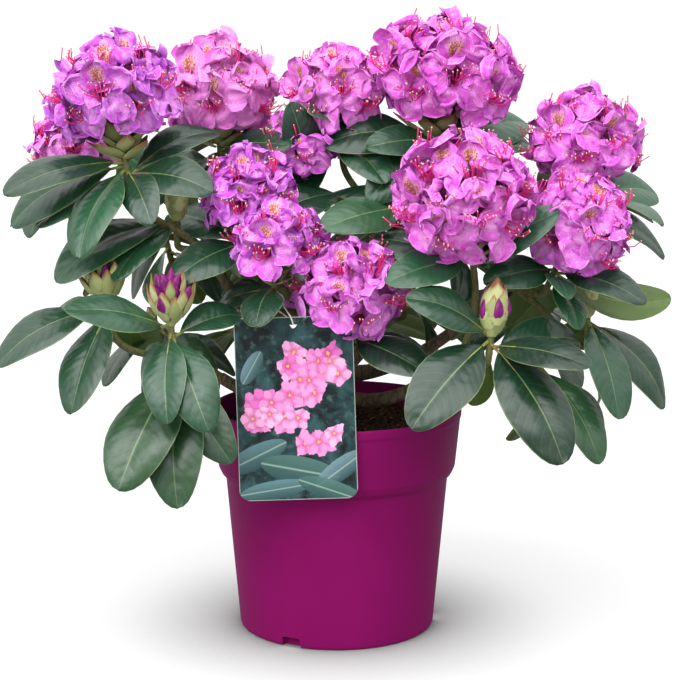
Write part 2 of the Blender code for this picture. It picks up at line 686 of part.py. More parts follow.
def make_thread(space):
    """The thread, a closed loop through the label's hole, over its top edge and round the twig above it."""
    place = label_frame()
    hole = place @ Vector((0, 0, -HOLE_DROP))
    _, (kind, centre, radius, lean, _, _), _ = MASSES["foliage_front"][1]
    axis = shoot_axis(Vector(centre), lean)
    knot = shoot_foot(kind, Vector(centre), radius, axis) - axis * THREAD_BELOW
    back = (knot - hole) - axis * (knot - hole).dot(axis)
    back.normalize()
    aside = axis.cross(back) * THREAD_BEND_R
    knots = [hole, *(place @ Vector(p) for p in THREAD_OVER_LABEL),
             knot - aside, knot + back * THREAD_BEND_R, knot + aside, place @ Vector(THREAD_BEHIND_LABEL)]
    route = closed_route(knots, 3)
    points, faces = [], []
    count = len(route)
    side = None
    for k, centre in enumerate(route):
        ahead = (route[(k + 1) % count] - route[k - 1]).normalized()
        side = ahead.orthogonal() if side is None else side
        side = (side - ahead * side.dot(ahead)).normalized()
        other = ahead.cross(side)
        for n in range(THREAD_SIDES):
            turn = 2 * math.pi * n / THREAD_SIDES
            points.append(centre + (side * math.cos(turn) + other * math.sin(turn)) * THREAD_R)
    first, last = points[:THREAD_SIDES], points[-THREAD_SIDES:]
    shift = min(range(THREAD_SIDES), key=lambda m: sum(
        (first[(n + m) % THREAD_SIDES] - last[n]).length for n in range(THREAD_SIDES)))
    for k in range(count):
        a, b = k * THREAD_SIDES, (k + 1) % count * THREAD_SIDES
        turn = shift if k == count - 1 else 0
        for n in range(THREAD_SIDES):
            m = (n + 1) % THREAD_SIDES
            faces.append((a + n, a + m, b + (m + turn) % THREAD_SIDES, b + (n + turn) % THREAD_SIDES))
    make_object("label_thread", (points, faces), [make_material("white_thread", "thread")])
    space.add("label_thread", (points, faces))


def limb_end(name):
    """Tip and direction of a bough."""
    route = smooth_route(next(points for limb, points, _, _ in LIMBS if limb == name), LIMB_RINGS)
    return route[-1], (route[-1] - route[-2]).normalized()


def shoot_foot(kind, centre, radius, axis):
    """Where a shoot's leaves and head sit on its twig."""
    return centre - axis * radius * SHOOT_FEET[kind]


def head_middle(centre, radius, axis):
    """Where the flower stalks of a head meet."""
    return centre - axis * radius * HEAD_MIDDLE


def grow_twigs(name, space):
    """The stem from the bough's tip and the twigs that leave it for each shoot."""
    bough, shoots = MASSES[name]
    start, ahead = limb_end(bough)
    start = start + ahead * GAP
    rng = random.Random(name)
    feet = []
    for kind, centre, radius, lean, _, _ in shoots:
        axis = shoot_axis(Vector(centre), lean)
        feet.append((shoot_foot(kind, Vector(centre), radius, axis), axis))
    middle = sum((foot for foot, _ in feet), Vector()) / len(feet)
    fork = start + ahead * min(0.030, (middle - start).length * 0.35)
    stem = [start, start + ahead * 0.4 * (fork - start).length, fork]
    parts = [tube(stem, [STEM_R, STEM_R, STEM_R * 0.95], 6, ends=(ahead, None))]
    for (kind, centre, radius, _, _, _), (foot, axis) in zip(shoots, feet):
        straight = foot - axis * LEAFY_END
        reach = (straight - fork).length
        pull_out = fork + ahead * reach * 0.30
        pull_in = straight - axis * reach * 0.35
        wobble = Vector([rng.uniform(-1, 1) for _ in range(3)]) * 0.04 * reach
        route = []
        for k in range(TWIG_RINGS + 1):
            t = k / TWIG_RINGS
            point = (fork * (1 - t) ** 3 + (pull_out + wobble) * 3 * t * (1 - t) ** 2
                     + pull_in * 3 * t * t * (1 - t) + straight * t ** 3)
            route.append(point)
        route[0] = fork - ahead * 0.004
        route.append(foot + axis * 0.002)
        radii = taper(STEM_R * 0.8, TWIG_R, len(route))
        if kind == "head":
            route[-1] = head_middle(Vector(centre), radius, axis) - axis * radius * CORE_R * 0.3
        parts.append(tube(route, radii, 3))
    return parts, feet


def whorl(count, rng, azimuth, pitch):
    """Leaves that the rule adds, spread evenly round a shoot from a first azimuth."""
    return [(azimuth + 360 * k / count + rng.uniform(-12, 12), pitch + rng.uniform(-14, 10),
             rng.uniform(0.78, 1.0)) for k in range(count)]


def grow_leaf(name, space, foot, azimuth, pitch, size):
    """A leaf clear of every other node, and of its own mass's leaves and heads where it can, or None."""
    for own in (True, False):
        for swing in (0, -8, 8, -16, 16, -24, 24):
            for dip in (0, -8, 8, -16, 16):
                root = foot + direction(azimuth + swing, 0) * TWIG_R * 0.25
                args = (root, azimuth + swing, pitch + dip, LEAF_LENGTH * size)
                if space.blocked(name, leaf(*args, grow=CLEAR)):
                    continue
                if own and space.blocked(name, leaf(*args, first=0.2), own=True):
                    continue
                shape = leaf(*args)
                space.add(name, leaf(*args, first=0.2), own=True)
                return shape
    return None


def grow_heads(name, space, feet):
    """Flower heads and buds of one mass, as (shape, material index)."""
    parts = []
    rng = random.Random(name + " heads")
    for (kind, centre, radius, _, _, _), (foot, axis) in zip(MASSES[name][1], feet):
        centre = Vector(centre)
        if kind == "head":
            middle = head_middle(centre, radius, axis)

            def allowed(out):
                reach = radius * rng.uniform(0.96, 1.06)
                spin = rng.uniform(0, 2 * math.pi / 5)
                if space.blocked(name, flower(middle, out, reach, spin, CLEAR), own=True):
                    return None
                return reach, spin

            shape = flower_head(middle, axis, radius, rng.uniform(0, 1), allowed)
            parts.append((shape, 1))
            space.add(name, shape, own=True)
        elif kind in ("bud", "opening"):
            shape = bud(foot, axis, radius, (centre - foot).length * 2)
            if not space.blocked(name, shape):
                parts.append((shape, 2 if kind == "opening" else 0))
                space.add(name, shape, own=True)
    return parts


def join_mass(name, parts):
    """One solid from a mass's twigs, leaves, heads and buds, by one union on a collection."""
    materials = [make_material(name + "_leaf", "leaf"), make_material(name + "_petal", "petal"),
                 make_material(name + "_bud", "bud")]
    mass = make_object(name, parts[0][0], materials)
    group = bpy.data.collections.new(name + "_parts")
    for k, (shape, slot) in enumerate(parts[1:]):
        piece = make_object(f"{name}_part_{k}", shape, materials)
        piece.data.polygons.foreach_set("material_index", [slot] * len(shape[1]))
        bpy.context.scene.collection.objects.unlink(piece)
        group.objects.link(piece)
    bpy.context.scene.collection.children.link(group)
    modifier = mass.modifiers.new("join", "BOOLEAN")
    modifier.operation = "UNION"
    modifier.operand_type = "COLLECTION"
    modifier.collection = group
    modifier.solver = "EXACT"
    apply_modifiers(mass)
    remove_objects(list(group.objects))
    bpy.data.collections.remove(group)
    keep_one_shell(mass.data)
    return mass


def place_leaves(name, space, grown, by_hand):
    """The leaves of one mass: those that its table lists, or those that the whorl rule adds below them."""
    rng = random.Random(name + (" leaves" if by_hand else " whorls"))
    for (kind, centre, _, _, listed, extra), (foot, axis) in zip(MASSES[name][1], grown[1]):
        chosen, below = listed, 0
        if not by_hand:
            outward = math.degrees(math.atan2(centre[1], centre[0]))
            chosen, below = whorl(extra, rng, outward, -18 if kind == "head" else -28), len(listed)
        for k, (azimuth, pitch, size) in enumerate(chosen):
            shape = grow_leaf(name, space, foot - axis * LEAF_STEP * (below + k), azimuth, pitch, size)
            if shape:
                grown[0].append((shape, 0))
            else:
                print("no room for a leaf of", name, "at", round(azimuth))


def make_masses(space):
    """Every mass: first all twigs, then all heads, then the leaves, so that each keeps its own space."""
    grown = {}
    for name in MASSES:
        twigs, feet = grow_twigs(name, space)
        for shape in twigs:
            met = space.blocked(name, shape)
            if met:
                print("a twig of", name, "meets", met)
            space.add(name, shape)
        grown[name] = ([(shape, 0) for shape in twigs], feet)
    for name in sorted(MASSES, key=lambda mass: min(shoot[1][1] for shoot in MASSES[mass][1])):
        grown[name][0].extend(grow_heads(name, space, grown[name][1]))
    for by_hand in (True, False):
        for name in MASSES:
            place_leaves(name, space, grown[name], by_hand)
    for name in MASSES:
        mass = join_mass(name, grown[name][0])
        print(name, "joined from", len(grown[name][0]), "pieces:", len(mass.data.polygons), "faces")


def main():
    """Build the whole part."""
    clear_scene()
    space = Space()
    make_pot()
    soil = turned(soil_profile(), SOIL_SIDES)
    make_object("soil", soil, [make_material("potting_soil", "soil")], smooth=True)
    space.add("soil", soil)
    space.add("pot", turned(pot_profile(), POT_SIDES))
    make_limbs(space)
    make_label(space)
    make_thread(space)
    make_masses(space)
    print("objects", len(bpy.data.objects))


main()
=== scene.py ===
# %% [markdown]
# # A potted rhododendron in flower
#
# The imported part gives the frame: a pot, its soil, a trunk with nine boughs, nine masses of foliage and
# a picture label that hangs on a thread. Those solids say where everything is. This lesson dresses each
# of them with the finer shape and the finish of the real thing, and keeps every piece where its solid is.

# %% Load the frame
import json
import math
import random
from functools import partial

import bpy
import numpy as np
from mathutils import Matrix, Vector, noise
from mathutils.kdtree import KDTree

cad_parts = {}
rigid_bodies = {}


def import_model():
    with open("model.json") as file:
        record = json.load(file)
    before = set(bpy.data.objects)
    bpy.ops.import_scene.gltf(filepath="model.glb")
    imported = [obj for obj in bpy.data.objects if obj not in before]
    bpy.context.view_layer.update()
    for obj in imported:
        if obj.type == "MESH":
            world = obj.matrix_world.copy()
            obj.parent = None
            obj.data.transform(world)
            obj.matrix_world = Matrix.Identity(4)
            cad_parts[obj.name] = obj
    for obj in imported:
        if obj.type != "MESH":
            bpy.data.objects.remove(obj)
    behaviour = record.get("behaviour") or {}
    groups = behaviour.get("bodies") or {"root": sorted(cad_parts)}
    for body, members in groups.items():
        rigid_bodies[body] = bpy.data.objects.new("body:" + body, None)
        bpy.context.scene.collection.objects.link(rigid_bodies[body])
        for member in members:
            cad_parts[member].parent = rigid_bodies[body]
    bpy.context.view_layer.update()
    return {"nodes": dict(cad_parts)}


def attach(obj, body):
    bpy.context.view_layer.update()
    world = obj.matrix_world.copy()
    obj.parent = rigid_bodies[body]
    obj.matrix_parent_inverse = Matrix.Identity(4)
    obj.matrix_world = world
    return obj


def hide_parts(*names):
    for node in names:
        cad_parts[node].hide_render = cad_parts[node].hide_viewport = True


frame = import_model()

# %% [markdown]
# ## The camera
#
# The picture is taken from a little above the flowers with a longish lens: the pot's rim shows as a flat
# ellipse and its underside curves down in the middle. Both curves together give the camera's height and
# its distance, which is why the camera stands 1.65 m away and looks ten degrees down.

# %% Camera
camera_data = bpy.data.cameras.new("camera")
camera_data.sensor_width = 36
camera_data.lens = 99.0
camera = bpy.data.objects.new("camera", camera_data)
camera.location = (0.0025, -1.65, 0.554)
camera.rotation_euler = (math.radians(90 - 10.1), 0, 0)
bpy.context.scene.collection.objects.link(camera)
bpy.context.scene.camera = camera
print("camera at", tuple(camera.location))

# %% [markdown]
# ## Colours and nodes
#
# Colours are read off the real thing as sRGB hex, the way a paint chart gives them, and Blender's shaders
# want them linear. One function turns one into the other. A second small function adds a node with its
# settings and its links, so that a material reads as a list of what it is made of.


# %% Colour and node helpers
def linear(code):
    """The linear RGBA colour of an sRGB hex code."""
    parts = [int(code[i:i + 2], 16) / 255 for i in (1, 3, 5)]
    return (*(c / 12.92 if c <= 0.04045 else ((c + 0.055) / 1.055) ** 2.4 for c in parts), 1)


def fill(node, inputs):
    """Set a node's inputs, given by name or in the order in which the node shows them.

    Each takes a value, an sRGB hex code, an output socket, or a node, to whose first output it is linked.
    """
    shown = [socket for socket in node.inputs if socket.enabled]
    for key, value in inputs.items() if isinstance(inputs, dict) else enumerate(inputs):
        socket = node.inputs[key] if isinstance(key, str) else shown[key]
        if isinstance(value, bpy.types.Node):
            value = next(output for output in value.outputs if output.enabled)
        if isinstance(value, bpy.types.NodeSocket):
            node.id_data.links.new(value, socket)
        else:
            socket.default_value = linear(value) if isinstance(value, str) else value


MAIN_SETTING = {"Math": "operation", "VectorMath": "operation", "Mix": "data_type",
                "MapRange": "interpolation_type"}


def add_node(tree, kind, inputs=(), main=None, **settings):
    """Add a node to a tree, with its inputs, its main setting if it isn't the usual one, and others."""
    made = tree.nodes.new("ShaderNode" + kind)
    if main:
        settings[MAIN_SETTING[kind]] = main
    for name, value in settings.items():
        setattr(made, name, value)
    fill(made, inputs)
    return made


def new_material(name, roughness, ior=1.45):
    """A way to add nodes to a new material, its Principled shader and the material itself."""
    material = bpy.data.materials.new(name)
    material.use_nodes = True
    shader = material.node_tree.nodes["Principled BSDF"]
    fill(shader, {"Roughness": roughness, "IOR": ior})
    print("material:", name)
    return partial(add_node, material.node_tree), shader, material


# %% [markdown]
# ## From arrays to one mesh
#
# A plant has thousands of small parts. Made as an object each, they would take Blender minutes; a modifier
# or a particle system would leave instances. Here every leaf and petal is a pair of number arrays, and one
# pile gathers those of the same kind and makes a single mesh of them at the end. Each point also carries
# where it is on its leaf or petal, so that one material can draw the veins of all of them.


# %% Pile of shapes
class Pile:
    """Points, faces and what each point knows, of one piece."""

    def __init__(self):
        self.points, self.faces, self.slots, self.places, self.tints = [], [], [], [], []
        self.count = 0

    def add(self, points, faces, slot=0, place=None, tint=(0, 0, 0)):
        """Add a shape. place is three numbers for each point, and tint three for the whole shape."""
        points = np.asarray(points, float).reshape(-1, 3)
        for block in faces if isinstance(faces, tuple) else (faces,):
            block = np.asarray(block, np.int64)
            if len(block):
                self.faces.append(block + self.count)
                self.slots.append(np.full(len(block), slot))
        self.points.append(points)
        self.places.append(np.zeros((len(points), 3)) if place is None else place)
        self.tints.append(np.tile(np.asarray(tint, float), (len(points), 1)))
        self.count += len(points)


# %% From a pile to a piece
def make_piece(name, pile, materials, body, replaced, sharp=50):
    """One object from a pile, that rides on a body and stands for the nodes that it replaces."""
    mesh = bpy.data.meshes.new(name)
    corners = np.concatenate([block.ravel() for block in pile.faces])
    totals = np.concatenate([np.full(len(block), block.shape[1]) for block in pile.faces])
    mesh.vertices.add(pile.count)
    mesh.vertices.foreach_set("co", np.concatenate(pile.points).astype(np.float32).ravel())
    mesh.loops.add(len(corners))
    mesh.loops.foreach_set("vertex_index", corners.astype(np.int32))
    mesh.polygons.add(len(totals))
    for label, values in (("loop_start", np.cumsum(totals) - totals), ("loop_total", totals),
                          ("material_index", np.concatenate(pile.slots))):
        mesh.polygons.foreach_set(label, values.astype(np.int32))
    for label, values in (("place", pile.places), ("tint", pile.tints)):
        attribute = mesh.attributes.new(label, "FLOAT_VECTOR", "POINT")
        attribute.data.foreach_set("vector", np.concatenate(values).astype(np.float32).ravel())
    for material in materials:
        mesh.materials.append(material)
    mesh.update(calc_edges=True)
    mesh.shade_smooth()
    mesh.set_sharp_from_angle(angle=math.radians(sharp))
    piece = bpy.data.objects.new(name, mesh)
    bpy.context.scene.collection.objects.link(piece)
    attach(piece, body)
    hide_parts(*replaced)
    print(name, "has", int((totals - 2).sum()), "triangles")
    return piece


# %% [markdown]
# ## The plant's own numbers
#
# These are the sizes that the solids were drawn from. Each bough is given by its start in the trunk, its
# bend and its tip. Each mass lists its shoots: what sits on the end, where and how large it is, how it
# leans, and the leaves of its whorl as azimuth, pitch and length. The real plant carries its leaves that
# way too, in a false whorl just under every truss or bud, and leaves the wood below bare.

# %% Sizes of the plant
UP = Vector((0, 0, 1))
GAP = 0.0003
STEM_R, TWIG_R, TWIG_RINGS = 0.0042, 0.0030, 5
LEAFY_END = 0.020
LEAF_LENGTH, LEAF_WIDTH, LEAF_SAG, LEAF_STEP = 0.1, 0.46, 0.09, 0.0026
FACE_LINE_Y, FACE_OUT = 0.08, 0.9
SHOOT_FEET = {"head": 0.98, "opening": 1.6, "bud": 1.9, "leafy": 0}
HEAD_MIDDLE = 0.12
FLOWER_RIM, FLOWER_TIP, SMALL_HEAD_R = 0.95, 0.325, 0.0445

TRUNK_POINTS = ((0, 0, 0.1843), (-0.002, 0.002, 0.205), (0.002, 0.001, 0.238))

LIMBS = (
    ("bough_centre", ((0.002, 0.001, 0.2383), (0.008, 0.008, 0.290), (0.022, 0.012, 0.345)),
     0.0075, 0.0052),
    ("bough_left_low", ((-0.002, 0.002, 0.203), (-0.050, -0.034, 0.210), (-0.100, -0.062, 0.238)),
     0.0072, 0.0050),
    ("bough_right_front", ((-0.001, 0.001, 0.208), (0.046, -0.042, 0.216), (0.088, -0.078, 0.248)),
     0.0072, 0.0050),
    ("bough_back", ((0.000, 0.001, 0.212), (0.006, 0.054, 0.232), (0.014, 0.104, 0.268)),
     0.0068, 0.0048),
    ("bough_front", ((0.000, 0.001, 0.222), (-0.014, -0.030, 0.240), (-0.024, -0.048, 0.276)),
     0.0064, 0.0046),
    ("bough_left_high", ((0.001, 0.001, 0.226), (-0.052, -0.014, 0.256), (-0.098, -0.030, 0.318)),
     0.0070, 0.0048),
    ("bough_right_high", ((0.001, 0.001, 0.229), (0.062, -0.010, 0.244), (0.124, -0.022, 0.290)),
     0.0070, 0.0048),
    ("bough_back_left", ((0.002, 0.001, 0.232), (-0.028, 0.040, 0.272), (-0.074, 0.068, 0.330)),
     0.0066, 0.0046),
    ("bough_back_right", ((0.002, 0.001, 0.232), (0.046, 0.048, 0.270), (0.092, 0.092, 0.332)),
     0.0066, 0.0046),
)

# %% Shoots of each mass
OUT = None
MASSES = {
    "foliage_left_low": ("bough_left_low", (
        ("opening", (-0.137, -0.123, 0.321), 0.018, (0, -0.05),
         ((-145, 15, 1.0), (-90, -50, 0.85), (-60, -38, 0.95), (35, 10, 0.75), (130, -45, 0.7)), 0),
        ("opening", (-0.197, -0.076, 0.322), 0.012, (-0.15, 0.1),
         ((-150, -20, 1.1), (-110, -45, 1.05), (145, -12, 0.8), (70, -25, 0.9)), 0),
        ("leafy", (-0.136, -0.095, 0.252), 0.004, (-0.3, -0.3),
         ((-120, -44, 1.2), (-88, -55, 1.2), (-44, -45, 0.92)), 0),
        ("leafy", (-0.165, 0.030, 0.270), 0.004, (-0.5, 0.2), (), 5),
    )),
    "foliage_left_high": ("bough_left_high", (
        ("head", (-0.187, -0.060, 0.478), 0.055, (-0.14, 0),
         ((-150, -10, 1.1), (-175, -25, 1.1), (-116, -40, 1.0), (-66, -32, 0.7), (-30, -5, 0.85),
          (24, 25, 0.9)), 1),
        ("head", (-0.261, 0.030, 0.437), 0.043, (-0.30, 0.1),
         ((-104, -25, 0.8), (150, -30, 0.7), (70, -20, 0.9)), 0),
        ("bud", (-0.138, -0.040, 0.393), 0.011, (0, 0),
         ((-150, -20, 1.2), (-130, -26, 0.85), (140, -48, 0.9), (50, -30, 0.9)), 0),
    )),
    "foliage_back_left": ("bough_back_left", (
        ("head", (-0.105, 0.040, 0.482), 0.055, (0, 0.05),
         ((-38, 6, 0.92), (-62, -8, 0.7), (46, 30, 0.9), (-105, -5, 0.6), (150, -10, 0.9)), 1),
        ("head", (-0.107, 0.150, 0.474), 0.044, OUT, (), 5),
        ("head", (-0.215, 0.130, 0.463), 0.044, OUT, (), 5),
        ("leafy", (-0.165, 0.150, 0.330), 0.004, OUT, (), 6),
    )),
    "foliage_centre_top": ("bough_centre", (
        ("head", (0.095, 0.010, 0.501), 0.065, (0.08, -0.05),
         ((-141, 0, 0.8), (-162, 10, 1.05), (31, 20, 1.0), (22, 2, 0.95), (-46, 4, 0.7),
          (-135, -20, 0.9)), 1),
        ("head", (-0.001, 0.020, 0.482), 0.046, (-0.1, 0), ((-118, 30, 0.6), (-60, -12, 0.8)), 3),
        ("head", (-0.032, 0.010, 0.431), 0.036, (-0.35, -0.25), ((-112, 58, 0.85), (-150, 5, 0.75)), 2),
        ("leafy", (0.057, -0.020, 0.382), 0.004, (0.1, -0.5), ((-135, -5, 0.95), (-40, -25, 0.8)), 2),
    )),
    "foliage_front": ("bough_front", (
        ("head", (-0.076, -0.062, 0.403), 0.044, (-0.05, -0.2),
         ((28, 20, 0.95), (162, -5, 0.95), (-140, 0, 0.85), (100, 0, 0.8)), 0),
        ("head", (-0.050, -0.087, 0.361), 0.043, (0.05, -0.25), ((-101, -16, 0.75), (145, -20, 0.75)), 0),
        ("head", (0.011, -0.087, 0.321), 0.048, (0, -0.3),
         ((-42, -13, 0.92), (15, -35, 0.85), (160, -30, 0.7)), 0),
    )),
    "foliage_right_front": ("bough_right_front", (
        ("head", (0.106, -0.110, 0.401), 0.060, (-0.15, -0.35),
         ((-149, -8, 0.85), (160, 10, 1.0), (-18, 42, 0.85), (60, 0, 0.9)), 0),
        ("bud", (0.131, -0.118, 0.309), 0.013, (0.1, 0),
         ((-155, 28, 0.85), (-138, -34, 1.08), (-55, -40, 1.25), (-38, -2, 0.95), (32, 0, 0.95),
          (105, -48, 0.7)), 0),
        ("leafy", (0.175, -0.072, 0.250), 0.004, (0.5, 0), ((-48, -45, 1.0), (110, -55, 0.9)), 1),
    )),
    "foliage_right_high": ("bough_right_high", (
        ("head", (0.217, 0.000, 0.441), 0.053, (0.05, 0),
         ((30, 0, 0.9), (-45, -8, 0.9), (110, -10, 0.9), (-150, -10, 0.7)), 1),
        ("head", (0.205, -0.070, 0.376), 0.048, (0.4, -0.2),
         ((-142, -2, 0.8), (-36, -3, 0.88), (14, -16, 1.1), (-84, -6, 0.62), (-68, -34, 0.6),
          (110, -34, 0.9)), 0),
        ("bud", (0.218, -0.045, 0.307), 0.010, (0, 0),
         ((-74, -45, 1.04), (4, -46, 1.06), (62, -65, 0.9), (107, -32, 0.6)), 0),
        ("leafy", (0.190, 0.060, 0.280), 0.004, (0.5, 0.2), (), 5),
    )),
    "foliage_back_right": ("bough_back_right", (
        ("head", (0.103, 0.140, 0.488), 0.052, OUT, (), 5),
        ("head", (0.235, 0.125, 0.430), 0.043, OUT, (), 5),
        ("head", (0.125, 0.180, 0.373), 0.048, OUT, (), 5),
        ("leafy", (0.180, 0.165, 0.290), 0.004, OUT, (), 6),
    )),
    "foliage_back": ("bough_back", (
        ("head", (0.015, 0.195, 0.300), 0.043, OUT, (), 6),
        ("head", (-0.072, 0.160, 0.362), 0.044, OUT, (), 6),
        ("bud", (0.070, 0.150, 0.300), 0.011, OUT, (), 5),
        ("leafy", (-0.095, 0.140, 0.250), 0.004, OUT, (), 6),
    )),
}
print("shoots:", sum(len(shoots) for _, shoots in MASSES.values()))

# %% [markdown]
# ## Where the rule puts twigs, flowers and leaves
#
# The solids were grown by a seeded rule, and the same rule is written here again. From the tip of its
# bough a mass has one stem, which forks into a twig for each shoot. A leaf may have been swung or dipped
# a little to find room, so each place that the rule tries is looked up among the solid's own points: the
# place where the leaf's tip is found is the one it took, and a leaf whose tip isn't there had no room.


# %% Routes and directions
def drawn(rng, count, low, high):
    """That many random numbers from low to high."""
    return np.array([rng.uniform(low, high) for _ in range(count)])


def smooth_route(points, steps):
    """Points along a quadratic curve through start, bend and end."""
    start, bend, end = (Vector(p) for p in points)
    pull = 2 * bend - (start + end) / 2
    return [start * (1 - t) ** 2 + pull * 2 * t * (1 - t) + end * t ** 2
            for t in (k / steps for k in range(steps + 1))]


def direction(azimuth, pitch):
    """Unit vector at an azimuth from +X toward +Y and a pitch above level, both in degrees."""
    a, p = math.radians(azimuth), math.radians(pitch)
    return Vector((math.cos(a) * math.cos(p), math.sin(a) * math.cos(p), math.sin(p)))


def shoot_axis(centre, lean):
    """Direction in which a shoot's end points, leaning outward where no lean is given."""
    if lean is None:
        flat = Vector((centre.x, centre.y, 0))
        lean = flat.normalized() * min(0.45, flat.length * 1.6)
    return Vector((lean[0], lean[1], 1)).normalized()


def across_frame(axis):
    """Two directions across an axis."""
    side = axis.orthogonal().normalized()
    return side, axis.cross(side)


def at_angle(side, other, angle):
    """The direction at an angle from one direction toward another that is square to it."""
    return side * math.cos(angle) + other * math.sin(angle)


# %% Shoots and their twigs
class Shoot:
    """The end of one twig: its head or bud, its axis, its foot and the route of its twig."""

    def __init__(self, mass, number, row):
        self.mass, self.number = mass, number
        self.kind, centre, self.radius, lean, self.leaves, self.extra = row
        self.centre = Vector(centre)
        self.axis = shoot_axis(self.centre, lean)
        self.foot = self.centre - self.axis * self.radius * SHOOT_FEET[self.kind]
        self.middle = self.centre - self.axis * self.radius * HEAD_MIDDLE
        self.route = []


def grow_twigs(mass):
    """The shoots of one mass with the routes of their twigs, and the stem's two ends."""
    bough, rows = MASSES[mass]
    shoots = [Shoot(mass, k, row) for k, row in enumerate(rows)]
    limb = smooth_route(next(points for name, points, _, _ in LIMBS if name == bough), 6)
    ahead = (limb[-1] - limb[-2]).normalized()
    start = limb[-1] + ahead * GAP
    middle = sum((shoot.foot for shoot in shoots), Vector()) / len(shoots)
    fork = start + ahead * min(0.030, (middle - start).length * 0.35)
    rng = random.Random(mass)
    for shoot in shoots:
        straight = shoot.foot - shoot.axis * LEAFY_END
        reach = (straight - fork).length
        wobble = Vector(drawn(rng, 3, -1, 1)) * 0.04 * reach
        pull_out = fork + ahead * reach * 0.30 + wobble
        pull_in = straight - shoot.axis * reach * 0.35
        steps = TWIG_RINGS * 3
        for k in range(steps + 1):
            t = k / steps
            shoot.route.append(fork * (1 - t) ** 3 + pull_out * 3 * t * (1 - t) ** 2
                               + pull_in * 3 * t * t * (1 - t) + straight * t ** 3)
        shoot.route[0] = fork - ahead * 0.004
    return shoots, (start, fork)


PLANT = {mass: grow_twigs(mass) for mass in MASSES}
print("twigs:", sum(len(shoots) for shoots, _ in PLANT.values()))


# %% Leaves that stand in the solids
def points_of(node):
    """A search tree over the points of one CAD node."""
    vertices = frame["nodes"][node].data.vertices
    tree = KDTree(len(vertices))
    for k, vertex in enumerate(vertices):
        tree.insert(vertex.co, k)
    tree.balance()
    return tree


SOLID_POINTS = {mass: points_of(mass) for mass in MASSES}


def stands(mass, point):
    """Whether the mass's solid has a point there."""
    return SOLID_POINTS[mass].find(point)[2] < 0.0002


def whorl(count, rng, azimuth, pitch):
    """Leaves that the rule adds, spread evenly round a shoot from a first azimuth."""
    return [(azimuth + 360 * k / count + rng.uniform(-12, 12), pitch + rng.uniform(-14, 10),
             rng.uniform(0.78, 1.0)) for k in range(count)]


def find_leaf(mass, foot, azimuth, pitch, size):
    """The leaf as (root, azimuth, pitch, length), where the solid has its tip, or None."""
    for swing in (0, -8, 8, -16, 16, -24, 24):
        for dip in (0, -8, 8, -16, 16):
            root = foot + direction(azimuth + swing, 0) * TWIG_R * 0.25
            length = LEAF_LENGTH * size
            if stands(mass, root + direction(azimuth + swing, pitch + dip) * length):
                return root, azimuth + swing, pitch + dip, length
    return None


def find_leaves():
    """Every leaf that stands, as (shoot, place, whether its underside is up)."""
    found = []
    for mass, (shoots, _) in PLANT.items():
        for by_hand in (True, False):
            rng = random.Random(mass + (" leaves" if by_hand else " whorls"))
            for shoot in shoots:
                chosen, below = shoot.leaves, 0
                if not by_hand:
                    outward = math.degrees(math.atan2(shoot.centre.y, shoot.centre.x))
                    chosen = whorl(shoot.extra, rng, outward, -18 if shoot.kind == "head" else -28)
                    below = len(shoot.leaves)
                for k, (azimuth, pitch, size) in enumerate(chosen):
                    foot = shoot.foot - shoot.axis * LEAF_STEP * (below + k)
                    place = find_leaf(mass, foot, azimuth, pitch, size)
                    if place:
                        found.append((shoot, place, by_hand and (mass, shoot.number, k) == TURNED_OVER))
    return found


# This leaf hangs with its pale underside up
TURNED_OVER = ("foliage_right_high", 1, 2)
LEAVES = find_leaves()
print("leaves that stand:", len(LEAVES))

# %% [markdown]
# ## The leaf blade
#
# A rhododendron leaf is a stiff leathery ellipse about 100 mm long and 45 mm wide, on a stalk of 10 mm.
# The midrib is sunk into the upper side and stands out below, the halves are raised a little like an open
# book, and the edge rolls down. It could be a flat plane with a leaf picture, but then it has no edge and
# no fold to catch the light. Here each is a closed sheet 0.7 mm thick, bent by formulas over a small grid.

# %% Leaf grid
BLADE_START = 0.10
BLADE_ROWS, BLADE_COLUMNS = 15, 8
BLADE_THICK = 0.0007
SIDE_VEINS, RIB_DEPTH = 11, 0.0011
STALK_SIDES, STALK_RINGS, STALK_R, STALK_END_R = 6, 4, 0.0016, 0.0007
# The stalk goes on under the blade as the foot of its midrib, for this share of the leaf
STALK_REACH = 0.30
# How leaves differ: their twist in degrees either way, their bend to a side and their droop as shares of
# their length, their width against the usual one, and fold, roll and wave of a half against its width
TWIST, SIDE_BEND, DROOP, WIDER = 14, 0.05, (0.02, 0.07), (0.94, 1.12)
FOLD, ROLL, WAVE = (0.06, 0.24), (0.12, 0.26), (0.02, 0.07)


def flat_grid(*axes):
    """The coordinates of all points of a grid, as one flat array for each axis."""
    return (grid.ravel() for grid in np.meshgrid(*axes, indexing="ij"))


row_share = (1 - np.cos(np.pi * np.arange(BLADE_ROWS + 1) / BLADE_ROWS)) / 2
column_share = np.array([-1, -0.80, -0.45, -0.12, 0, 0.12, 0.45, 0.80, 1])
blade_u, blade_s = flat_grid(row_share, column_share)


def stepped(root, *steps):
    """Points at a root moved by steps. A step is an array of lengths and the direction they go in."""
    points = np.array(root)
    for lengths, way in steps:
        points = points + np.outer(lengths, way)
    return points


def grid_faces(rows, columns, first=0, flip=False):
    """Four-sided faces of a grid of points with that many rows and columns of faces."""
    a = (np.arange(rows)[:, None] * (columns + 1) + np.arange(columns)).ravel() + first
    quads = np.stack([a, a + 1, a + columns + 2, a + columns + 1], axis=1)
    return quads[:, ::-1] if flip else quads


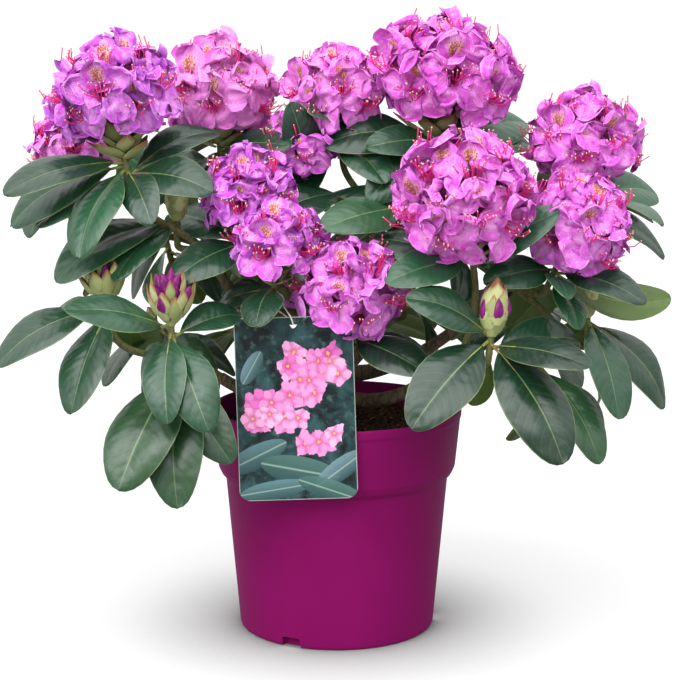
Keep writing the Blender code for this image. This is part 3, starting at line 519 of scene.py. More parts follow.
def rim_faces(rows, columns, shift):
    """Faces that close the rim between a grid and its copy, whose points come shift later."""
    wide = columns + 1
    loop = np.array([*range(wide), *(wide * k + columns for k in range(1, rows + 1)),
                     *(wide * rows + k for k in range(columns - 1, -1, -1)),
                     *(wide * k for k in range(rows - 1, 0, -1))])
    after = np.roll(loop, -1)
    return np.stack([after, loop, loop + shift, after + shift], axis=1)


BLADE_FACES = np.concatenate([
    grid_faces(BLADE_ROWS, BLADE_COLUMNS, flip=True),
    grid_faces(BLADE_ROWS, BLADE_COLUMNS, first=len(blade_u)),
    rim_faces(BLADE_ROWS, BLADE_COLUMNS, len(blade_u))[:, ::-1],
])
print("one leaf blade has", 2 * len(BLADE_FACES), "triangles")


# %% Tubes
def tube_faces(rings, sides):
    """Faces of a tube between that many rings, without its ends."""
    k = np.arange(sides)
    after = (k + 1) % sides
    between = np.stack([k, after, after + sides, k + sides], axis=1)
    return np.concatenate([between + ring * sides for ring in range(rings - 1)])


def fan_faces(centre, first, sides, flip=False):
    """Triangles from a centre point to the ring of points that starts at first."""
    k = np.arange(sides)
    pair = first + k, first + (k + 1) % sides
    return np.stack([np.full(sides, centre), *(pair[::-1] if flip else pair)], axis=1)


def tube_points(route, radii, sides):
    """Points of a tube along a route, ring by ring."""
    route = np.asarray(route, float)
    ahead = np.gradient(route, axis=0)
    ahead /= np.linalg.norm(ahead, axis=1, keepdims=True)
    side = np.array(Vector(ahead[0]).orthogonal().normalized())
    angles = 2 * np.pi * np.arange(sides) / sides
    rings = []
    for centre, along, radius in zip(route, ahead, radii):
        side = side - along * side.dot(along)
        side /= np.linalg.norm(side)
        other = np.cross(along, side)
        rings.append(centre + (np.outer(np.cos(angles), side) + np.outer(np.sin(angles), other)) * radius)
    return np.concatenate(rings)


def closed_tube(rings, sides):
    """All faces of a tube: its sides in one block and its two ends in another."""
    ends = np.stack([np.arange(sides)[::-1], np.arange(sides) + (rings - 1) * sides])
    return tube_faces(rings, sides), ends


def add_tube(pile, route, radii, sides, slot=0, tint=(0, 0, 0), kind=0.0, relief=None):
    """Add a closed tube. Its place is the share along it, round it, and its kind.

    relief gives, for each point, how far out it lies as a share of the tube's radius.
    """
    points, rings = tube_points(route, radii, sides), len(route)
    if relief is not None:
        centres = np.repeat(np.asarray(route, float), sides, axis=0)
        points = centres + (points - centres) * relief[:, None]
    place = np.stack([np.repeat(np.linspace(0, 1, rings), sides), np.tile(np.arange(sides) / sides, rings),
                      np.full(rings * sides, kind)], axis=1)
    pile.add(points, closed_tube(rings, sides), slot, place, tint)


# %% One leaf
def add_leaf(pile, place, rng, spray, turned_over=False):
    """Add one leaf with its stalk. The leaf's place is its root, azimuth, pitch and length."""
    root, azimuth, pitch, length = place
    along = direction(azimuth, pitch)
    outward = Vector((root.x * 0.5, root.y - FACE_LINE_Y, 0)).normalized()
    normal = UP + outward * FACE_OUT
    normal = (normal - along * normal.dot(along)).normalized() * (-1 if turned_over else 1)
    across = normal.cross(along)
    twist, bend = math.radians(rng.uniform(-TWIST, TWIST)), rng.uniform(-SIDE_BEND, SIDE_BEND)
    wide = length * LEAF_WIDTH / 2 * rng.uniform(*WIDER)
    fold, roll = rng.uniform(*FOLD), rng.uniform(*ROLL)
    wave, phase = rng.uniform(*WAVE) * wide, rng.uniform(0, 6.28)
    droop = rng.uniform(*DROOP) * length

    # An ellipse that is blunt at the stalk and pointed at the tip
    t = BLADE_START + (1 - BLADE_START) * blade_u
    half = wide * np.sin(np.pi * blade_u ** 1.04) ** (0.82 - 0.34 * blade_u)
    half = np.maximum(half, wide * 0.02)
    sideways = blade_s * half
    spread = np.abs(blade_s)

    # Each half is raised by its fold, rolled down at its edge and waved, with the midrib sunk between them
    lift = (fold * spread - roll * spread ** 3.5) * half + wave * spread * np.sin(9 * t + phase + blade_s)
    lift -= RIB_DEPTH * np.exp(-(spread / 0.10) ** 2) * (1 - blade_u) ** 0.5

    # The blade arches and droops along its length, and twists about it
    curve = LEAF_SAG * length * np.sin(np.pi * t) - droop * np.clip((t - 0.62) / 0.38, 0, 1) ** 2
    turn = twist * (t - 0.2)
    left = sideways * np.cos(turn) - lift * np.sin(turn) + bend * length * 4 * t * (1 - t)
    up = sideways * np.sin(turn) + lift * np.cos(turn) + curve
    top = stepped(root, (t * length, along), (left, across), (up, normal))

    # The underside lies a blade's thickness lower, and more than that under the midrib
    under = -np.outer(np.sin(turn), across) + np.outer(np.cos(turn), normal)
    rib = 1 + 1.3 * np.exp(-(spread / 0.10) ** 2) * (1 - blade_u)
    bottom = top - under * (BLADE_THICK * rib * np.where(spread > 0.99, 0.6, 1))[:, None]
    where = np.stack([blade_u, blade_s, np.ones(len(t))], axis=1)

    # Leaves low in the plant are all of them dark: their random tone is held low there as painted shade
    # under the foliage
    tone = rng.uniform(0, 1) * min(1, 0.20 + max(0, root.z - 0.22) / 0.2)
    pile.add(np.concatenate([top, bottom]), BLADE_FACES, 0, np.concatenate([where, where * (1, 1, 0)]),
             (tone, spray, 0))

    reach = np.linspace(0, STALK_REACH, STALK_RINGS + 1)
    aside = bend * length * 4 * reach * (1 - reach)
    rise = LEAF_SAG * length * np.sin(np.pi * reach) - 0.0012
    stalk = stepped(root, (reach * length, along), (aside, across), (rise, normal))
    add_tube(pile, stalk, np.linspace(STALK_R, STALK_END_R, STALK_RINGS + 1), STALK_SIDES, slot=1)


# %% [markdown]
# ## The leaf's finish: waxy cuticle over deep green
#
# The upper side is dark green under a waxy skin, which mirrors the bright studio as a grey-green sheen.
# The midrib is a thin pale line, and the side veins are shallow channels that run out and forward every
# eight millimetres. The underside is a dull yellow green. The pattern is drawn from each point's place on
# its leaf, so the veins bend with the blade. A roughness of 0.30, rising to 0.38 in patches where the wax
# is worn, and a thin smoother coat suit a waxy leaf. The side veins are drawn 2 mm wide with soft edges,
# because at their real 0.4 mm they would vanish.

# %% Leaf material
# Waxy green leaf with sunk veins above and a dull paler side below
add, shader, WAXY_LEAF = new_material("waxy_leaf", roughness=0.38)
place, tint = (add("Attribute", attribute_name=name).outputs["Vector"] for name in ("place", "tint"))
along, side, upper = add("SeparateXYZ", (place,)).outputs
tone, young, _ = add("SeparateXYZ", (tint,)).outputs
off_rib = add("Math", (side,), "ABSOLUTE")

# The side veins bend forward as they leave the midrib. The saw is 0 on each and 0.5 between two
forward = add("Math", (off_rib, 1.35), "POWER")
step = add("Math", (forward, -0.20, along), "MULTIPLY_ADD")
step = add("Math", (step, SIDE_VEINS), "MULTIPLY")
saw = add("Math", (step, 0.5), "PINGPONG")
vein = add("MapRange", (saw, 0, 0.13, 1, 0), "SMOOTHSTEP")
faint = add("Math", (vein, 0.08), "MULTIPLY")
rib = add("MapRange", (off_rib, 0.006, 0.038, 1, 0), "SMOOTHSTEP")
strong = add("Math", (rib, add("MapRange", (along, 0, 1, 0.75, 0.25))), "MULTIPLY")
# Painted highlight: a pale line along the rolled margin, where the edge catches the light
edge = add("MapRange", (off_rib, 0.96, 1, 0, 0.45))

position = add("TexCoord").outputs["Object"]
cloud = add("TexNoise", {"Vector": position, "Scale": 38, "Detail": 3})
patch = add("MapRange", (cloud, 0.35, 0.75, 0, 0.55))
green = "#0B2415"
# The tone that lifts the green is random, and held low on low leaves as painted shade
for share, over in ((tone, "#2B5E3E"), (young, "#4C7846"), (patch, "#16382A"), (faint, "#5F8A5A"),
                    (strong, "#879F69"), (edge, "#8FA56B")):
    green = add("Mix", (share, green, over), "RGBA")
under = add("Mix", (strong, "#4E6726", "#8C9A4C"), "RGBA")
dull = add("MapRange", (upper, 0, 1, 0.62, 0.30))

# The blade swells between the side veins, and its leathery skin puckers about every 25 mm
swell = add("MapRange", (saw, 0, 0.5), "SMOOTHERSTEP")
sunk = add("Math", (swell, 0.16, 1), "MULTIPLY_ADD")
pores = add("TexNoise", {"Vector": position, "Scale": 900, "Detail": 2})
pucker = add("TexNoise", {"Vector": position, "Scale": 38, "Detail": 2.5, "Roughness": 0.38})
relief = add("Math", (pores, 0.16, sunk), "MULTIPLY_ADD")
relief = add("Math", (pucker, 7, relief), "MULTIPLY_ADD")
fill(shader, {"Base Color": add("Mix", (upper, under, green), "RGBA"),
              "Roughness": add("Math", (patch, 0.14, dull), "MULTIPLY_ADD"),
              "Coat Weight": 0.26, "Coat Roughness": 0.20, "Specular IOR Level": 0.50,
              "Normal": add("Bump", {"Height": relief, "Strength": 0.8, "Distance": 0.001})})

# %% Leaf stalks and shoots: young green skin
# Leaf stalks and this year's shoots: smooth yellow-green skin, reddish here and there
add, shader, GREEN_SHOOT = new_material("green_shoot", roughness=0.45)
cloud = add("TexNoise", {"Vector": add("TexCoord").outputs["Object"], "Scale": 90, "Detail": 4})
red = add("MapRange", (cloud, 0.42, 0.70))
fill(shader, {"Base Color": add("Mix", (red, "#8E9C4E", "#7C5A3A"), "RGBA"),
              "Normal": add("Bump", {"Height": cloud, "Strength": 0.4, "Distance": 0.0004})})

# %% Leaves of every mass
for mass in MASSES:
    pile = Pile()
    rng = random.Random(mass + " blades")
    for shoot, place, turned_over in LEAVES:
        if shoot.mass == mass:
            add_leaf(pile, place, rng, 0.25 if shoot.kind == "leafy" else 0.0, turned_over)
    make_piece(mass + "_leaves", pile, [WAXY_LEAF, GREEN_SHOOT], "plant", (mass,))

# %% [markdown]
# ## The flower
#
# A flower is a funnel of five petals that are joined below the throat and free above it. Each free lobe is
# broad, overlaps its neighbours like the blades of a propeller, and has a ruffled edge. Long stamens and a
# style lie along the lower side and curve up at their tips. Bending one disc by a cloth simulation would
# ruffle it too, but not in the same way twice; formulas over each lobe's own grid give every flower its own
# ruffles from a seed. A petal is 0.3 mm of tissue, so a single sheet of faces stands for it.

# %% Petal grid
LOBES, LOBE_ROWS, LOBE_COLUMNS = 5, 13, 12
LOBE_POINTS = (LOBE_ROWS + 1) * (LOBE_COLUMNS + 1)
FREE_FROM = 0.40

lobe_l = 1 - (1 - np.arange(LOBE_ROWS + 1) / LOBE_ROWS) ** 1.25
lobe_a = np.linspace(-1, 1, LOBE_COLUMNS + 1)
petal_k, petal_l, petal_a = flat_grid(np.arange(LOBES), lobe_l, lobe_a)
PETAL_FACES = np.concatenate([grid_faces(LOBE_ROWS, LOBE_COLUMNS, first=k * LOBE_POINTS)
                              for k in range(LOBES)])
print("one corolla has", 2 * len(PETAL_FACES), "triangles")


def smooth_step(values, low, high):
    """0 below low, 1 above high, and an even rise between."""
    share = np.clip((values - low) / (high - low), 0, 1)
    return share * share * (3 - 2 * share)


def flower_frame(axis, up):
    """Directions across a flower, the first toward its upper lobe."""
    top = up - axis * up.dot(axis)
    top = top.normalized() if top.length > 0.05 else axis.orthogonal().normalized()
    return top, axis.cross(top)


# %% One corolla
NECK_R, FLARE, FUNNEL_HEIGHT = 0.0022, 0.0258, 0.0280


def add_corolla(pile, base, axis, up, scale, rng, tint):
    """Add five ruffled lobes on their tube. scale is 1 for a flower 56 mm across."""
    top, other = flower_frame(axis, up)
    free = smooth_step(petal_l, FREE_FROM, 0.92)
    edge = np.abs(petal_a) ** 1.6 * free
    phases = [drawn(rng, LOBES, 0, 6.28)[petal_k] for _ in range(5)]
    bent = np.array([rng.uniform(-0.002, 0.006), *drawn(rng, LOBES - 1, 0.001, 0.014)])[petal_k]
    inward = drawn(rng, LOBES, -0.10, 0.16)[petal_k]
    long = drawn(rng, LOBES, 0.92, 1.10)[petal_k]
    opened = rng.uniform(0.90, 1.10)

    # Each lobe widens until it covers the next one's edge, and its end is rounded
    round_end = np.sqrt(np.clip(1 - np.clip((petal_l - 0.64) / 0.36, 0, 1) ** 2.2, 0.003, 1))
    bulge = 0.10 * np.sin(np.pi * np.clip((petal_l - FREE_FROM) / (1 - FREE_FROM), 0, 1))
    half_angle = (math.pi / LOBES + bulge) * round_end

    # Broad waves run along the edges and finer ones over the whole lobe
    frill = np.sin(19 * petal_l + phases[3]) * edge
    ruffle = (0.0046 * edge * np.sin(3.9 * petal_a + 8 * petal_l + phases[0])
              + 0.0019 * free * np.sin(10 * petal_a + 4 * petal_l + phases[1]) * np.abs(petal_a) ** 0.4
              + 0.0013 * free * np.sin(15 * petal_l + 3 * petal_a + phases[2]))
    radius = NECK_R + FLARE * petal_l ** 1.5 * (1 - inward * free) * (1 + (long - 1) * free) * opened
    ruffle = ruffle + 0.0007 * edge * np.sin(23 * petal_l + 2 * phases[4])
    radius = radius - 0.4 * ruffle + 0.0012 * free * np.sin(13 * petal_a + phases[4]) * petal_l ** 6
    height = FUNNEL_HEIGHT * np.sin(math.pi / 2 * petal_l ** 0.8) - bent * free ** 2
    height = height + ruffle + 0.0014 * petal_a * free + 0.0030 * petal_a ** 2 * free
    angle = 2 * math.pi * petal_k / LOBES + petal_a * half_angle + 0.045 * frill + rng.uniform(-0.2, 0.2)
    spread = np.outer(np.cos(angle), top) + np.outer(np.sin(angle), other)
    points = np.array(base) + scale * (np.outer(height, axis) + spread * radius[:, None])
    place = np.stack([petal_l, petal_a, (petal_k == 0).astype(float)], axis=1)
    pile.add(points, PETAL_FACES, 0, place, tint)


# %% Stamens and style
ANTHER = np.array([(0, 0, -1), (1, 0, 0), (0, 1, 0), (-1, 0, 0), (0, -1, 0), (0, 0, 1)])
ANTHER_FACES = np.array([(0, k % 4 + 1, k) for k in range(1, 5)] + [(5, k, k % 4 + 1) for k in range(1, 5)])
STAMENS, STAMEN_RINGS = 9, 6
STYLE_REACH, STAMEN_REACH = 0.043, (0.030, 0.040)
# The radius of the filament, and half the width and length of what is on its end
STYLE_SIZE, STAMEN_SIZE = (0.00060, 0.0008, 0.0008), (0.00048, 0.00075, 0.0014)
FILAMENT_SLOT, ANTHER_SLOT, PEDICEL_SLOT = 1, 2, 3


def add_stamens(pile, base, axis, up, scale, rng):
    """Add the stamens and the longer style, which lie low in the funnel and curve up at the end."""
    top, other = flower_frame(axis, up)
    for k in range(STAMENS + 1):
        style = k == STAMENS
        share = 0 if style else (k - (STAMENS - 1) / 2) / (STAMENS / 2)
        side = other * (share * 0.011 + rng.uniform(-0.0015, 0.0015))
        reach = STYLE_REACH if style else rng.uniform(*STAMEN_REACH)
        low = -top * rng.uniform(0.006, 0.010) * (1.1 - abs(share))
        high = top * rng.uniform(-0.001, 0.007)
        knots = (axis * 0.004, axis * reach * 0.45 + low * 0.7 + side * 0.3,
                 axis * reach * 0.85 + low * 1.3 + side * 0.9, axis * reach + high + side * 1.25)
        route = []
        for step in range(STAMEN_RINGS):
            t = step / (STAMEN_RINGS - 1)
            weights = ((1 - t) ** 3, 3 * t * (1 - t) ** 2, 3 * t * t * (1 - t), t ** 3)
            route.append(base + sum((knot * w for knot, w in zip(knots, weights)), Vector()) * scale)
        thick, wide, long = STYLE_SIZE if style else STAMEN_SIZE
        add_tube(pile, route, [thick] * STAMEN_RINGS, 3, FILAMENT_SLOT)
        tip = np.array(route[-1])
        ahead = (route[-1] - route[-2]).normalized()
        cross = ahead.cross(other).normalized()
        turn = np.array([other, cross, ahead] if style else [ahead.cross(cross), ahead, cross])
        pile.add(tip + (ANTHER * (wide, wide, long)) @ turn, ANTHER_FACES, ANTHER_SLOT)


# %% [markdown]
# ## The flower's finish: soft petals, crimson stamens
#
# A petal has a soft, slightly velvety skin, whose sheen lifts its edges: pink violet, pale along the middle
# of each lobe, deeper and streaked toward the throat, with a thin pale hem. The throat's depth is partly the
# petal's own colour and partly painted shade in the funnel. Its upper lobe carries the blotch that guides
# bees, a pale field crowded with golden brown specks. Three base colours, a violet, a pink and a lighter
# pink, are dealt out by truss, because flowers that opened on different days differ that much. The specks
# are 1 mm wide, a little coarser than real ones, so that they still show.

# %% Petal material
# Ruffled petals with streaks, a pale field and specks on the upper lobe
add, shader, SOFT_PETAL = new_material("soft_petal", roughness=0.58, ior=1.40)
place, tint = (add("Attribute", attribute_name=name).outputs["Vector"] for name in ("place", "tint"))
along, side, dorsal = add("SeparateXYZ", (place,)).outputs
age, pink, light = add("SeparateXYZ", (tint,)).outputs
off = add("Math", (side,), "ABSOLUTE")

# Streaks fan out from the throat: a noise that is fine across the lobe and long along it
fan = add("VectorMath", (place, (1.3, 12, 3)), "MULTIPLY")
shifted = add("VectorMath", (tint, (37, 0, 0), fan), "MULTIPLY_ADD")
streak = add("TexNoise", {"Vector": shifted, "Scale": 1.6, "Detail": 3, "Roughness": 0.55})
# The crinkles' noise raises the petal's bump, and the colour layers below paint it paler on the crests and
# darker in the hollows
crinkle_and_painted_light = add("TexNoise", {"Vector": add("TexCoord").outputs["Object"], "Scale": 170, "Detail": 4,
                          "Roughness": 0.65})

# The upper lobe's pale field, and the specks that crowd where it is strongest
field = add("MapRange", (off, 0.30, 0.62, 1, 0), "SMOOTHSTEP")
for limit in (add("MapRange", (along, 0.30, 0.42), "SMOOTHSTEP"),
              add("MapRange", (along, 0.72, 0.90, 1, 0), "SMOOTHSTEP"), dorsal):
    field = add("Math", (field, limit), "MULTIPLY")
grain = add("VectorMath", (place, (24, 11, 5)), "MULTIPLY")
speck = add("TexVoronoi", {"Vector": grain, "Scale": 1, "Randomness": 1})
crowd = add("Math", (field, 0.60), "MULTIPLY")
dot = add("Math", (speck, crowd), "LESS_THAN")

# Each layer's share and colour, from the ground up
colour = "#BC66F0"
for share, over in (
        (pink, "#E85EE4"), (light, "#F48AEC"),  # the truss's own pinks
        (add("MapRange", (age, 0, 1, 0, 0.40)), "#CF5CD6"),  # the flower's own
        (add("MapRange", (off, 0.05, 0.75, 0.42, 0), "SMOOTHSTEP"), "#F4C2F0"),  # pale along the middle
        (add("MapRange", (off, 0.80, 1, 0, 0.25), "SMOOTHSTEP"), "#B145BE"),  # violet toward the margin
        # Painted highlight on the crests of the crinkles
        (add("MapRange", (crinkle_and_painted_light, 0.49, 0.66, 0, 0.55)), "#F3CAF0"),
        # Painted shade in the hollows of the crinkles
        (add("MapRange", (crinkle_and_painted_light, 0.46, 0.32, 0, 0.40)), "#CC34B4"),
        # Deeper toward the throat: partly the petal's own colour, partly painted shade in the funnel
        (add("MapRange", (along, 0.18, 0.55, 0.75, 0), "SMOOTHSTEP"), "#DC46B0"),  # the throat
        (add("MapRange", (streak, 0.50, 0.60, 0, 0.55)), "#DC3CAE"),
        (add("Math", (light, 0.40), "MULTIPLY"), "#FFA4EE"),
        (add("Math", (field, 0.70), "MULTIPLY"), "#ECBE9C"),
        (add("Math", (dot, 0.85), "MULTIPLY"), "#AA5620"),
        (add("MapRange", (off, 0.93, 0.99, 0, 0.40)), "#F4BCEC")):  # the thin hem
    colour = add("Mix", (share, colour, over), "RGBA")
crinkle = add("Math", (crinkle_and_painted_light, 2, streak), "MULTIPLY_ADD")
fill(shader, {"Base Color": colour, "Specular IOR Level": 0.20, "Sheen Weight": 0.05,
              "Sheen Roughness": 0.45,
              "Normal": add("Bump", {"Height": crinkle, "Strength": 0.85, "Distance": 0.0011})})


# %% Filaments and anthers: fine parts that change colour along their length
def thread_like_material(name, low, high, roughness):
    """A fine part whose colour runs from one end to the other, a little uneven."""
    add, shader, material = new_material(name, roughness)
    along = add("SeparateXYZ", (add("Attribute", attribute_name="place").outputs["Vector"],)).outputs["X"]
    cloud = add("TexNoise", {"Vector": add("TexCoord").outputs["Object"], "Scale": 160})
    share = add("MapRange", (add("Math", (cloud, 0.5, along), "MULTIPLY_ADD"), 0.2, 1.3))
    fill(shader, {"Base Color": add("Mix", (share, low, high), "RGBA")})
    return material


FILAMENT = thread_like_material("crimson_filament", "#EE4A9C", "#DC1A6E", 0.45)
ANTHER_SKIN = thread_like_material("cream_anther", "#DCC4A6", "#B48C5C", 0.6)

# %% [markdown]
# ## The truss
#
# A truss is a dome of flowers on short stalks that meet on one stout axis. The solid's flowers stand on the
# faces of an icosahedron about that axis, because that spreads them evenly. The same directions are used
# here with a small wobble, and each flower is wider than its solid cup, so that the lobes overlap and close
# the dome as they do on the plant. At the foot of the truss the green scales of the old bud are left.

# %% Flowers that stand in the solids
WIDE_HEAD_R = 0.035


def head_directions(axis, turn):
    """Corners and faces of an icosahedron about a head's axis. Each face may carry one flower."""
    side, other = across_frame(axis)
    high, wide = 1 / math.sqrt(5), 2 / math.sqrt(5)
    corners = [axis]
    for row, start in ((1, 0), (-1, 36)):
        corners += [axis * (row * high) + at_angle(side, other, turn + math.radians(start + 72 * k)) * wide
                    for k in range(5)]
    corners.append(-axis)
    faces = []
    for k in range(5):
        a, b, c, d = 1 + k, 1 + (k + 1) % 5, 6 + k, 6 + (k + 1) % 5
        faces += [(0, a, b), (a, c, b), (b, c, d), (11, d, c)]
    return corners, faces


def find_flowers(mass, shoots):
    """The flowers of one mass that stand in its solid, as (shoot, direction, reach).

    A wide truss gets smaller flowers of its own between them, a little deeper, which close its dome.
    """
    rng = random.Random(mass + " heads")
    found = []
    for shoot in shoots:
        if shoot.kind != "head":
            continue
        lowest = -0.3 if shoot.radius > SMALL_HEAD_R else 0
        corners, faces = head_directions(shoot.axis, rng.uniform(0, 1))
        for face in faces:
            out = sum((corners[i] for i in face), Vector()).normalized()
            if out.dot(shoot.axis) <= lowest:
                continue
            reach = shoot.radius * rng.uniform(0.96, 1.06)
            spin = rng.uniform(0, 2 * math.pi / 5)
            side, other = across_frame(out)
            tips = [shoot.middle + out * (FLOWER_RIM - 0.02) * reach
                    + at_angle(side, other, spin + 2 * math.pi * k / 5) * FLOWER_TIP * reach
                    for k in range(5)]
            if any(stands(mass, tip) for tip in tips):
                found.append((shoot, out, reach))
        if shoot.radius > WIDE_HEAD_R:
            found += [(shoot, corner, shoot.radius * 0.86) for corner in corners
                      if corner.dot(shoot.axis) > 0]
    return found


# %% Base colours of the trusses
# Each truss gets its shares of pink over violet, and of lighter pink over both.
TRUSS_TINTS = {
    ("foliage_left_high", 0): (0.30, 0.12), ("foliage_left_high", 1): (0.70, 0.45),
    ("foliage_back_left", 0): (0.95, 0.95), ("foliage_centre_top", 0): (0.90, 0.15),
    ("foliage_centre_top", 1): (0.95, 0.40), ("foliage_centre_top", 2): (0.75, 0.10),
    ("foliage_front", 0): (0.35, 0.05), ("foliage_front", 1): (0.40, 0.10),
    ("foliage_front", 2): (0.65, 0.25), ("foliage_right_front", 0): (1.00, 0.20),
    ("foliage_right_high", 0): (0.90, 0.10), ("foliage_right_high", 1): (0.75, 0.15),
}
OTHER_TINT = (0.7, 0.15)
# Some domes are flatter than a ball along their axis
FLATTER = {("foliage_centre_top", 0): 0.80, ("foliage_right_high", 0): 0.82, ("foliage_left_high", 0): 0.86,
           ("foliage_back_left", 0): 0.86}
# Some stand a little beside their place in the solid
MOVED = {("foliage_left_high", 0): Vector((0, 0, 0.007)), ("foliage_front", 0): Vector((0, 0, -0.006)),
         ("foliage_left_high", 1): Vector((0.028, 0, -0.010))}
print("trusses with colours of their own:", len(TRUSS_TINTS))

# %% Scales and flower stalks
STALK_SLOT, SCALE_SLOT = 1, 2
SCALE_THICK = 0.0004


def add_scale(pile, root, toward, out, length, width, hug, tint):
    """Add one bud scale: a pointed cupped sheet that lies along a bud or a stalk."""
    ahead = toward.normalized()
    outward = (out - ahead * out.dot(ahead)).normalized()
    rows, columns = 5, 4
    v, s = flat_grid(np.linspace(0, 1, rows + 1), np.linspace(-1, 1, columns + 1))
    across = ahead.cross(outward).normalized()
    half = width * np.sin(math.pi * np.clip(0.18 + 0.80 * v, 0, 1)) ** 0.8
    bow = hug * np.sin(math.pi * np.clip(0.15 + 0.7 * v, 0, 1)) - 0.35 * half * s ** 2
    points = stepped(root, (v * length, ahead), (s * half, across), (bow, outward))
    place = np.stack([v, s, np.zeros(len(v))], axis=1)
    back = points - SCALE_THICK * np.array(outward)
    faces = np.concatenate([grid_faces(rows, columns), grid_faces(rows, columns, first=len(v), flip=True),
                            rim_faces(rows, columns, len(v))])
    pile.add(np.concatenate([points, back]), faces, SCALE_SLOT, np.concatenate([place, place]), tint)


def add_pedicel(pile, foot, axis, base, rng):
    """Add the curved stalk from the truss's own axis to the base of one flower."""
    start = foot + axis * rng.uniform(0.004, 0.016)
    bend = (start + base) / 2 + axis * 0.002
    add_tube(pile, smooth_route((start, bend, base), 5), [0.0011] * 5 + [0.0020], 5, PEDICEL_SLOT)


# %% Bud scale material
# Bud scales: dry yellow-green skin with red-brown tips and edges
add, shader, BUD_SCALE = new_material("bud_scale", roughness=0.55)
place, tint = (add("Attribute", attribute_name=name).outputs["Vector"] for name in ("place", "tint"))
along, side, _ = add("SeparateXYZ", (place,)).outputs
tone = add("SeparateXYZ", (tint,)).outputs["X"]
off = add("Math", (side,), "ABSOLUTE")
reach = add("Math", (off, 0.35, along), "MULTIPLY_ADD")
brown = add("MapRange", (reach, 0.72, 1.15, 0, 0.9), "SMOOTHSTEP")
green = add("Mix", (tone, "#C2C68C", "#909A5C"), "RGBA")
down = add("TexNoise", {"Vector": add("TexCoord").outputs["Object"], "Scale": 600, "Detail": 2})
fill(shader, {"Base Color": add("Mix", (brown, green, "#8A4A33"), "RGBA"),
              "Normal": add("Bump", {"Height": down, "Strength": 0.4, "Distance": 0.0003})})

# %% Build the trusses
# A flower of scale 1 has a funnel this deep and suits a truss of this radius
FUNNEL_DEPTH, TRUSS_R = 0.0285, 0.0565
LARGE_TRUSS_R = 0.05

for mass, (shoots, _) in PLANT.items():
    pile = Pile()
    rng = random.Random(mass + " flowers")
    flowers = find_flowers(mass, shoots)
    for shoot, out, reach in flowers:
        wobble = Vector(drawn(rng, 3, -0.10, 0.10))
        axis = (out + wobble).normalized()
        scale = reach / TRUSS_R * (1.10 if shoot.radius > LARGE_TRUSS_R else 1.14)
        flat = out + shoot.axis * out.dot(shoot.axis) * (FLATTER.get((mass, shoot.number), 1) - 1)
        base = shoot.middle + flat * reach * rng.uniform(0.80, 0.92) - axis * FUNNEL_DEPTH * scale
        base += MOVED.get((mass, shoot.number), Vector())
        shares = TRUSS_TINTS.get((mass, shoot.number), OTHER_TINT)
        tint = (rng.random(), min(1, max(0, shares[0] + rng.uniform(-0.1, 0.1))), shares[1])
        add_corolla(pile, base, axis, shoot.axis + UP * 0.3, scale, rng, tint)
        add_stamens(pile, base, axis, shoot.axis + UP * 0.3, scale, rng)
        add_pedicel(pile, shoot.foot, shoot.axis, base, rng)
    if flowers:
        print(mass, "carries", len(flowers), "flowers")
        make_piece(mass + "_flowers", pile, [SOFT_PETAL, FILAMENT, ANTHER_SKIN, GREEN_SHOOT], "plant",
                   (mass,), sharp=180)

# %% [markdown]
# ## Buds
#
# Two trusses on the left are only opening: a fist of closed, dark magenta flower buds with pale scales
# standing between them. A closed flower bud is a pointed egg with a spiral furrow for each folded lobe.
# The other tips carry a resting bud, wrapped in overlapping scales that wind up it like the tiles of a
# cone. One on the right is just splitting, and shows its first flowers between the scales.

# %% A closed flower
BUD_RINGS, BUD_SIDES = 9, 15


def add_closed_flower(pile, base, axis, length, radius, rng):
    """Add one closed flower bud, a pointed egg with five winding furrows."""
    tint = (rng.random(), 0, 0)
    side, other = across_frame(axis)
    v, k = flat_grid(np.arange(BUD_RINGS) / (BUD_RINGS - 1), np.arange(BUD_SIDES))
    swell = np.sin(math.pi * (0.06 + 0.93 * v ** 0.85)) ** 0.75
    start = rng.uniform(0, 6.28)
    angle = 2 * math.pi * k / BUD_SIDES + start
    furrow = np.cos(5 * (angle - start - 0.9 * v))
    wide = radius * swell * (1 + 0.13 * furrow * np.sin(math.pi * v) ** 0.5)
    points = stepped(base, (v * length, axis), (np.cos(angle) * wide, side), (np.sin(angle) * wide, other))
    place = np.stack([v, furrow, np.zeros(len(v))], axis=1)
    pile.add(points, closed_tube(BUD_RINGS, BUD_SIDES), 0, place, tint)


# %% An opening truss
# Each flower or scale is turned on from the last by the golden angle
GOLDEN = math.radians(137.5)
LARGE_OPENING_R = 0.015


